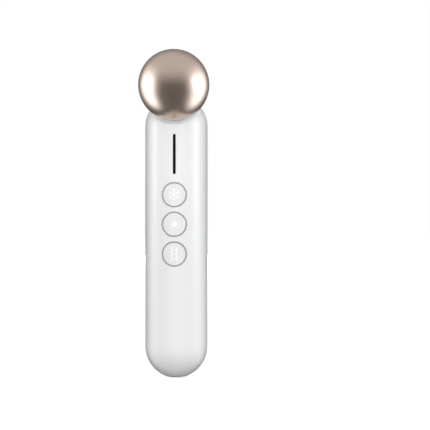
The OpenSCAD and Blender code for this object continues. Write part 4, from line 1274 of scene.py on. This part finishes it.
def metals():
    """Turned, pressed and plated metal parts, by colour, roughness, density of lines and bare colour."""
    plans = {
        "aluminium": ((0.78, 0.79, 0.8), 0.32, 2600, (0.9, 0.9, 0.9)),
        "steel": ((0.5, 0.5, 0.52), 0.3, 3600, (0.75, 0.75, 0.76)),
        "contact_gold": ((0.83, 0.62, 0.27), 0.24, 5200, (0.72, 0.66, 0.5)),
        "magnet_nickel": ((0.62, 0.6, 0.56), 0.18, 4200, (0.45, 0.43, 0.4)),
        "weight_metal": ((0.36, 0.36, 0.37), 0.45, 3000, (0.5, 0.5, 0.5)),
    }
    made = []
    for name, (colour, roughness, density, bare) in plans.items():
        metal = Finish(name, colour, roughness, metallic=1.0)
        metal.drift(shift=0.12, size=150).wear_and_highlight(bare, amount=0.7)
        metal.handled(smear=0.1, scratch=0.8 * MICRON, size=120).brushed(density, depth=0.8 * MICRON)
        made.append(metal)
    return made


def electronics():
    """Board, coil, thermoelectric parts, cell wrap and lead covers."""
    board = Finish("board_green", (0.02, 0.2, 0.08), roughness=0.3)
    inputs = {"Vector": stretched(board.tree, board.place, (1, 1, 1), UPRIGHT), "Scale": 240.0}
    tracks = add_node(board.tree, "ShaderNodeTexBrick", inputs, offset=0.37, squash=0.6).outputs["Fac"]
    board.tint(tracks, (0.03, 0.3, 0.12), share=0.8).drift(shift=0.15, size=200)
    board.relief(tracks, depth=12 * MICRON).moulded(grain=5000, depth=MICRON)
    coil = Finish("coil_grey", (0.12, 0.12, 0.13), roughness=0.6)
    specks = noise(coil.tree, coil.place, scale=5200, detail=1)
    specks = ranged(coil.tree, specks, low=0.55, high=0.7)
    coil.drift(shift=0.2, size=300).tint(specks, (0.25, 0.25, 0.26), share=0.7)
    coil.relief(specks, depth=3 * MICRON)
    plate = Finish("white_ceramic", (0.85, 0.84, 0.8), roughness=0.55)
    plate.drift(shift=0.08, size=260).handled(smear=0.1, scratch=0.6 * MICRON, size=200)
    plate.moulded(grain=5200, depth=1.5 * MICRON)
    legs = Finish("semiconductor", (0.28, 0.28, 0.3), roughness=0.4, metallic=1.0)
    inputs = {"Vector": legs.place, "Scale": 1500.0}
    facets = add_node(legs.tree, "ShaderNodeTexVoronoi", inputs).outputs["Distance"]
    legs.drift(shift=0.2, size=500).tint(facets, (0.45, 0.45, 0.5), share=0.5)
    legs.rougher(facets, amount=0.2).relief(facets, depth=5 * MICRON)
    wrap = Finish("cell_wrap", (0.05, 0.17, 0.45), roughness=0.28)
    shrunk = stretched(wrap.tree, wrap.place, scale=(1, 1, 0.3))
    creases = noise(wrap.tree, shrunk, scale=350, detail=2, distortion=0.8)
    wrap.drift(shift=0.1, size=80).relief(creases, depth=20 * MICRON).rougher(creases, amount=0.15)
    wrap.handled(smear=0.08, scratch=0.6 * MICRON)
    lead = Finish("lead_cover", (0.5, 0.02, 0.015), roughness=0.4)
    lead.drift(shift=0.12, size=200).handled(smear=0.1, scratch=0.5 * MICRON, size=200)
    lead.moulded(grain=2600, depth=2 * MICRON)
    return [board, coil, plate, legs, wrap, lead]


BUILT = [
    *white_mouldings(), *polished_ball(), *soft_parts(), *dark_and_clear_plastics(), *metals(), *electronics()
]
FINISHES = {finish.name: finish.done() for finish in BUILT}


# ---- stage, light and camera ----

FLOOR_R = 6.0
FLOOR_STEPS = 96
FLOOR_GLOW = 0.6
SENSOR_W = 36
LENS = 91.91
CAMERA_PLACE = (0.03885, -0.54894, 0.07559)
CAMERA_YAW, CAMERA_PITCH = math.radians(2.037), math.radians(0.54)
AIM = Vector((0, -0.01, 0.1))
# Radiance of the room that the wand sees, growing over these slopes of the view
ROOM_LOW, ROOM_HIGH = 0.17, 0.78
ROOM_RISE = (-0.2, 0.75)
# Share of it left behind the wand, reached over these depths of the view
ROOM_BACK = 0.31
ROOM_BEHIND = (0.15, 0.95)
# Soft lights: degrees round from the camera's side, degrees up, distance, width and height, radiance
FRONT_TURN, FRONT_RISE, FRONT_SIZE, FRONT_LIGHT = 8, 1, (2.6, 1.6), 3.0
BACK_TURN, BACK_RISE, BACK_SIZE, BACK_LIGHT = 180, 10, (1.8, 1.8), 3.6
SOFTBOX_FAR = 2.2
STREAKS = (("left", -84, (0.18, 0.3)), ("right", 81, (0.24, 0.3)))
STREAK_RISE, STREAK_FAR, STREAK_LIGHT = 6, 1.0, 12.0
# Soft beam under the ball, onto the seat
SEAT_AIM = Vector((0, -0.014, 0.124))
SEAT_RISE, SEAT_FAR, SEAT_SIZE, SEAT_LIGHT = -18, 0.5, (0.08, 0.05), 0.13
SEAT_BEAM = math.radians(11)
# Glowing cards beside the ball: angles from the camera's side and from level, and fading margins
CARD_R = 1.0
CARD_STEPS = 24
CARD_NEAR, LEFT_FAR, RIGHT_FAR = 41, 134, 145
CARD_LOW, CARD_TOP = -66, 48
CARD_FADE_NEAR, CARD_FADE_FAR = 0.5, 0.35
CARD_FADE_LOW, CARD_FADE_TOP = 0.25, 0.4
CARD_SLANT, CARD_SLANT_FROM = 0.2, 0.6
LEFT_GLOW, RIGHT_GLOW = 3.1, 2.9
CARD_COLOUR = (0.9, 0.96, 1.0, 1.0)


def floor():
    """Pale floor, seen by the camera alone, so that it throws nothing back at the wand."""
    mesh = bpy.data.meshes.new("floor")
    bm = bmesh.new()
    bmesh.ops.create_circle(bm, cap_ends=True, radius=FLOOR_R, segments=FLOOR_STEPS)
    bm.to_mesh(mesh)
    bm.free()
    obj = bpy.data.objects.new("floor", mesh)
    bpy.context.scene.collection.objects.link(obj)
    glow = {"Emission_Strength": FLOOR_GLOW, "Emission_Color": (1, 1, 1, 1)}
    paper = Finish("floor_paper", (0.96, 0.96, 0.96), roughness=0.9, **glow)
    mesh.materials.append(paper.drift(shift=0.01, size=3).done())
    obj.visible_diffuse = obj.visible_glossy = obj.visible_shadow = False


def softbox(
    name, turn, rise, distance, size, radiance, diffuse=True, glossy=True, aim=AIM, beam=math.pi
):
    """A soft light turned towards the wand.

    It stands turn degrees round from the camera's side and rise degrees up, and lights the matt
    part of a surface, the glossy part or both.
    """
    light = bpy.data.lights.new(name, "AREA")
    light.shape, light.spread = "RECTANGLE", beam
    light.size, light.size_y = size
    light.energy = radiance * math.pi * size[0] * size[1]
    way = Matrix.Rotation(math.radians(turn), 3, "Z") @ Matrix.Rotation(math.radians(-rise), 3, "X") @ FRONT
    obj = bpy.data.objects.new(name, light)
    obj.location = aim + distance * way
    obj.rotation_euler = (-way).to_track_quat("-Z", "Y").to_euler()
    obj.visible_camera = False
    obj.visible_diffuse, obj.visible_glossy = diffuse, glossy
    bpy.context.scene.collection.objects.link(obj)


def glow_card(name, side, far, radiance):
    """A tall curved card that glows in its middle and is seen in reflections alone."""
    bm = bmesh.new()
    chart = bm.loops.layers.uv.new("chart")
    points, shares = [], {}
    for i in range(CARD_STEPS + 1):
        row = []
        for k in range(CARD_STEPS + 1):
            turn = math.radians(CARD_NEAR + (far - CARD_NEAR) * i / CARD_STEPS)
            rise = math.radians(CARD_LOW + (CARD_TOP - CARD_LOW) * k / CARD_STEPS)
            way = Vector((side * math.sin(turn), -math.cos(turn), math.tan(rise)))
            row.append(bm.verts.new(BALL_CENTRE + CARD_R * way))
            shares[row[-1]] = (i / CARD_STEPS, k / CARD_STEPS)
        points.append(row)
    for row, other in zip(points, points[1:]):
        for k in range(CARD_STEPS):
            face = bm.faces.new((row[k], other[k], other[k + 1], row[k + 1]))
            for loop in face.loops:
                loop[chart].uv = shares[loop.vert]
    mesh = bpy.data.meshes.new(name)
    bm.to_mesh(mesh)
    bm.free()
    light = {"Emission_Color": CARD_COLOUR, "Emission_Strength": radiance}
    glow = Finish(name, (0, 0, 0), roughness=1.0, **light)
    tree = glow.tree
    chart_place = add_node(tree, "ShaderNodeTexCoord").outputs["UV"]
    u, v, _ = add_node(tree, "ShaderNodeSeparateXYZ", {0: chart_place}).outputs
    slant = ranged(tree, v, CARD_SLANT_FROM, 0, 0, CARD_SLANT)
    near = ranged(tree, reckon(tree, "SUBTRACT", u, slant), 0, CARD_FADE_NEAR)
    across_card = reckon(tree, "MULTIPLY", near, ranged(tree, u, 1, 1 - CARD_FADE_FAR))
    low, top = ranged(tree, v, 0, CARD_FADE_LOW), ranged(tree, v, 1, 1 - CARD_FADE_TOP)
    mask = reckon(tree, "MULTIPLY", across_card, reckon(tree, "MULTIPLY", low, top))
    tree.links.new(mask, glow.shader.inputs["Alpha"])
    mesh.materials.append(glow.done())
    obj = bpy.data.objects.new(name, mesh)
    bpy.context.scene.collection.objects.link(obj)
    obj.visible_camera = obj.visible_diffuse = obj.visible_shadow = False


def room():
    """White to the camera. To the wand, bright overhead, darker behind and dark below."""
    world = bpy.data.worlds.new("room")
    world.use_nodes = True
    bpy.context.scene.world = world
    tree = world.node_tree
    background = tree.nodes["Background"]
    way = add_node(tree, "ShaderNodeTexCoord").outputs["Generated"]
    _, y, z = add_node(tree, "ShaderNodeSeparateXYZ", {0: way}).outputs
    rise = ranged(tree, z, *ROOM_RISE, ROOM_LOW, ROOM_HIGH)
    side = ranged(tree, y, *ROOM_BEHIND, 1, ROOM_BACK)
    seen = add_node(tree, "ShaderNodeLightPath").outputs["Is Camera Ray"]
    strength = reckon(tree, "MAXIMUM", seen, reckon(tree, "MULTIPLY", rise, side))
    tree.links.new(strength, background.inputs["Strength"])
    background.inputs["Color"].default_value = (1, 1, 1, 1)


def lights():
    """A glowing card on each side for the gloss, and broad soft light for the matt surfaces."""
    glow_card("left card", -1, LEFT_FAR, LEFT_GLOW)
    glow_card("right card", 1, RIGHT_FAR, RIGHT_GLOW)
    for name, turn, size in STREAKS:
        softbox(f"{name} streak", turn, STREAK_RISE, STREAK_FAR, size, STREAK_LIGHT, diffuse=False)
    softbox("front softbox", FRONT_TURN, FRONT_RISE, SOFTBOX_FAR, FRONT_SIZE, FRONT_LIGHT, glossy=False)
    softbox("back softbox", BACK_TURN, BACK_RISE, SOFTBOX_FAR, BACK_SIZE, BACK_LIGHT, glossy=False)
    softbox(
        "seat light", 0, SEAT_RISE, SEAT_FAR, SEAT_SIZE, SEAT_LIGHT,
        glossy=False, aim=SEAT_AIM, beam=SEAT_BEAM,
    )


def camera():
    """The photograph's viewing angle."""
    cam = bpy.data.cameras.new("camera")
    cam.sensor_width, cam.lens = SENSOR_W, LENS
    obj = bpy.data.objects.new("camera", cam)
    bpy.context.scene.collection.objects.link(obj)
    across_floor = Vector((-math.sin(CAMERA_YAW), math.cos(CAMERA_YAW), 0)) * math.cos(CAMERA_PITCH)
    ahead = across_floor + UP * math.sin(CAMERA_PITCH)
    obj.location = CAMERA_PLACE
    obj.rotation_euler = ahead.to_track_quat("-Z", "Y").to_euler()
    bpy.context.scene.camera = obj
    bpy.context.scene.view_settings.view_transform = "Standard"


# ---- the whole wand ----


def put(piece, body, slot, *nodes):
    """Gives a piece its finish, the body that it rides on and the nodes that it stands for."""
    if not piece.data.materials:
        piece.data.materials.append(FINISHES[slot])
    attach(piece, body)
    if nodes:
        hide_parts(*nodes)


def wand():
    """Every piece that is seen, in place of its plain solid."""
    put(front_shell(), "wand", "shell_white", "front_shell")
    put(rear_cover(), "wand", "shell_white", "rear_cover")
    put(status_window(), "wand", "window_black", "status_window")
    for key, z in zip(KEYS, KEY_ZS):
        put(button(key, z), f"{key}_key", "button_white", f"{key}_button")
    lathe = revolved_tree()
    put(massage_ball(lathe), "wand", "ball_metal", "massage_ball")
    put(seat_gasket(lathe), "wand", "gasket_silicone", "seat_gasket")
    laying = laying_group()
    put(trim_rings(laying), "wand", "trim_grey", "button_trim_rings")
    for owner, symbol in printed_symbols(laying):
        put(symbol, owner, "button_white")


def inner_parts():
    """Better finishes for the solids that stay as they are."""
    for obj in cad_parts.values():
        for place in obj.material_slots:
            place.material = FINISHES[place.material.name.split(".")[0]]


wand()
inner_parts()
floor()
room()
lights()
camera()
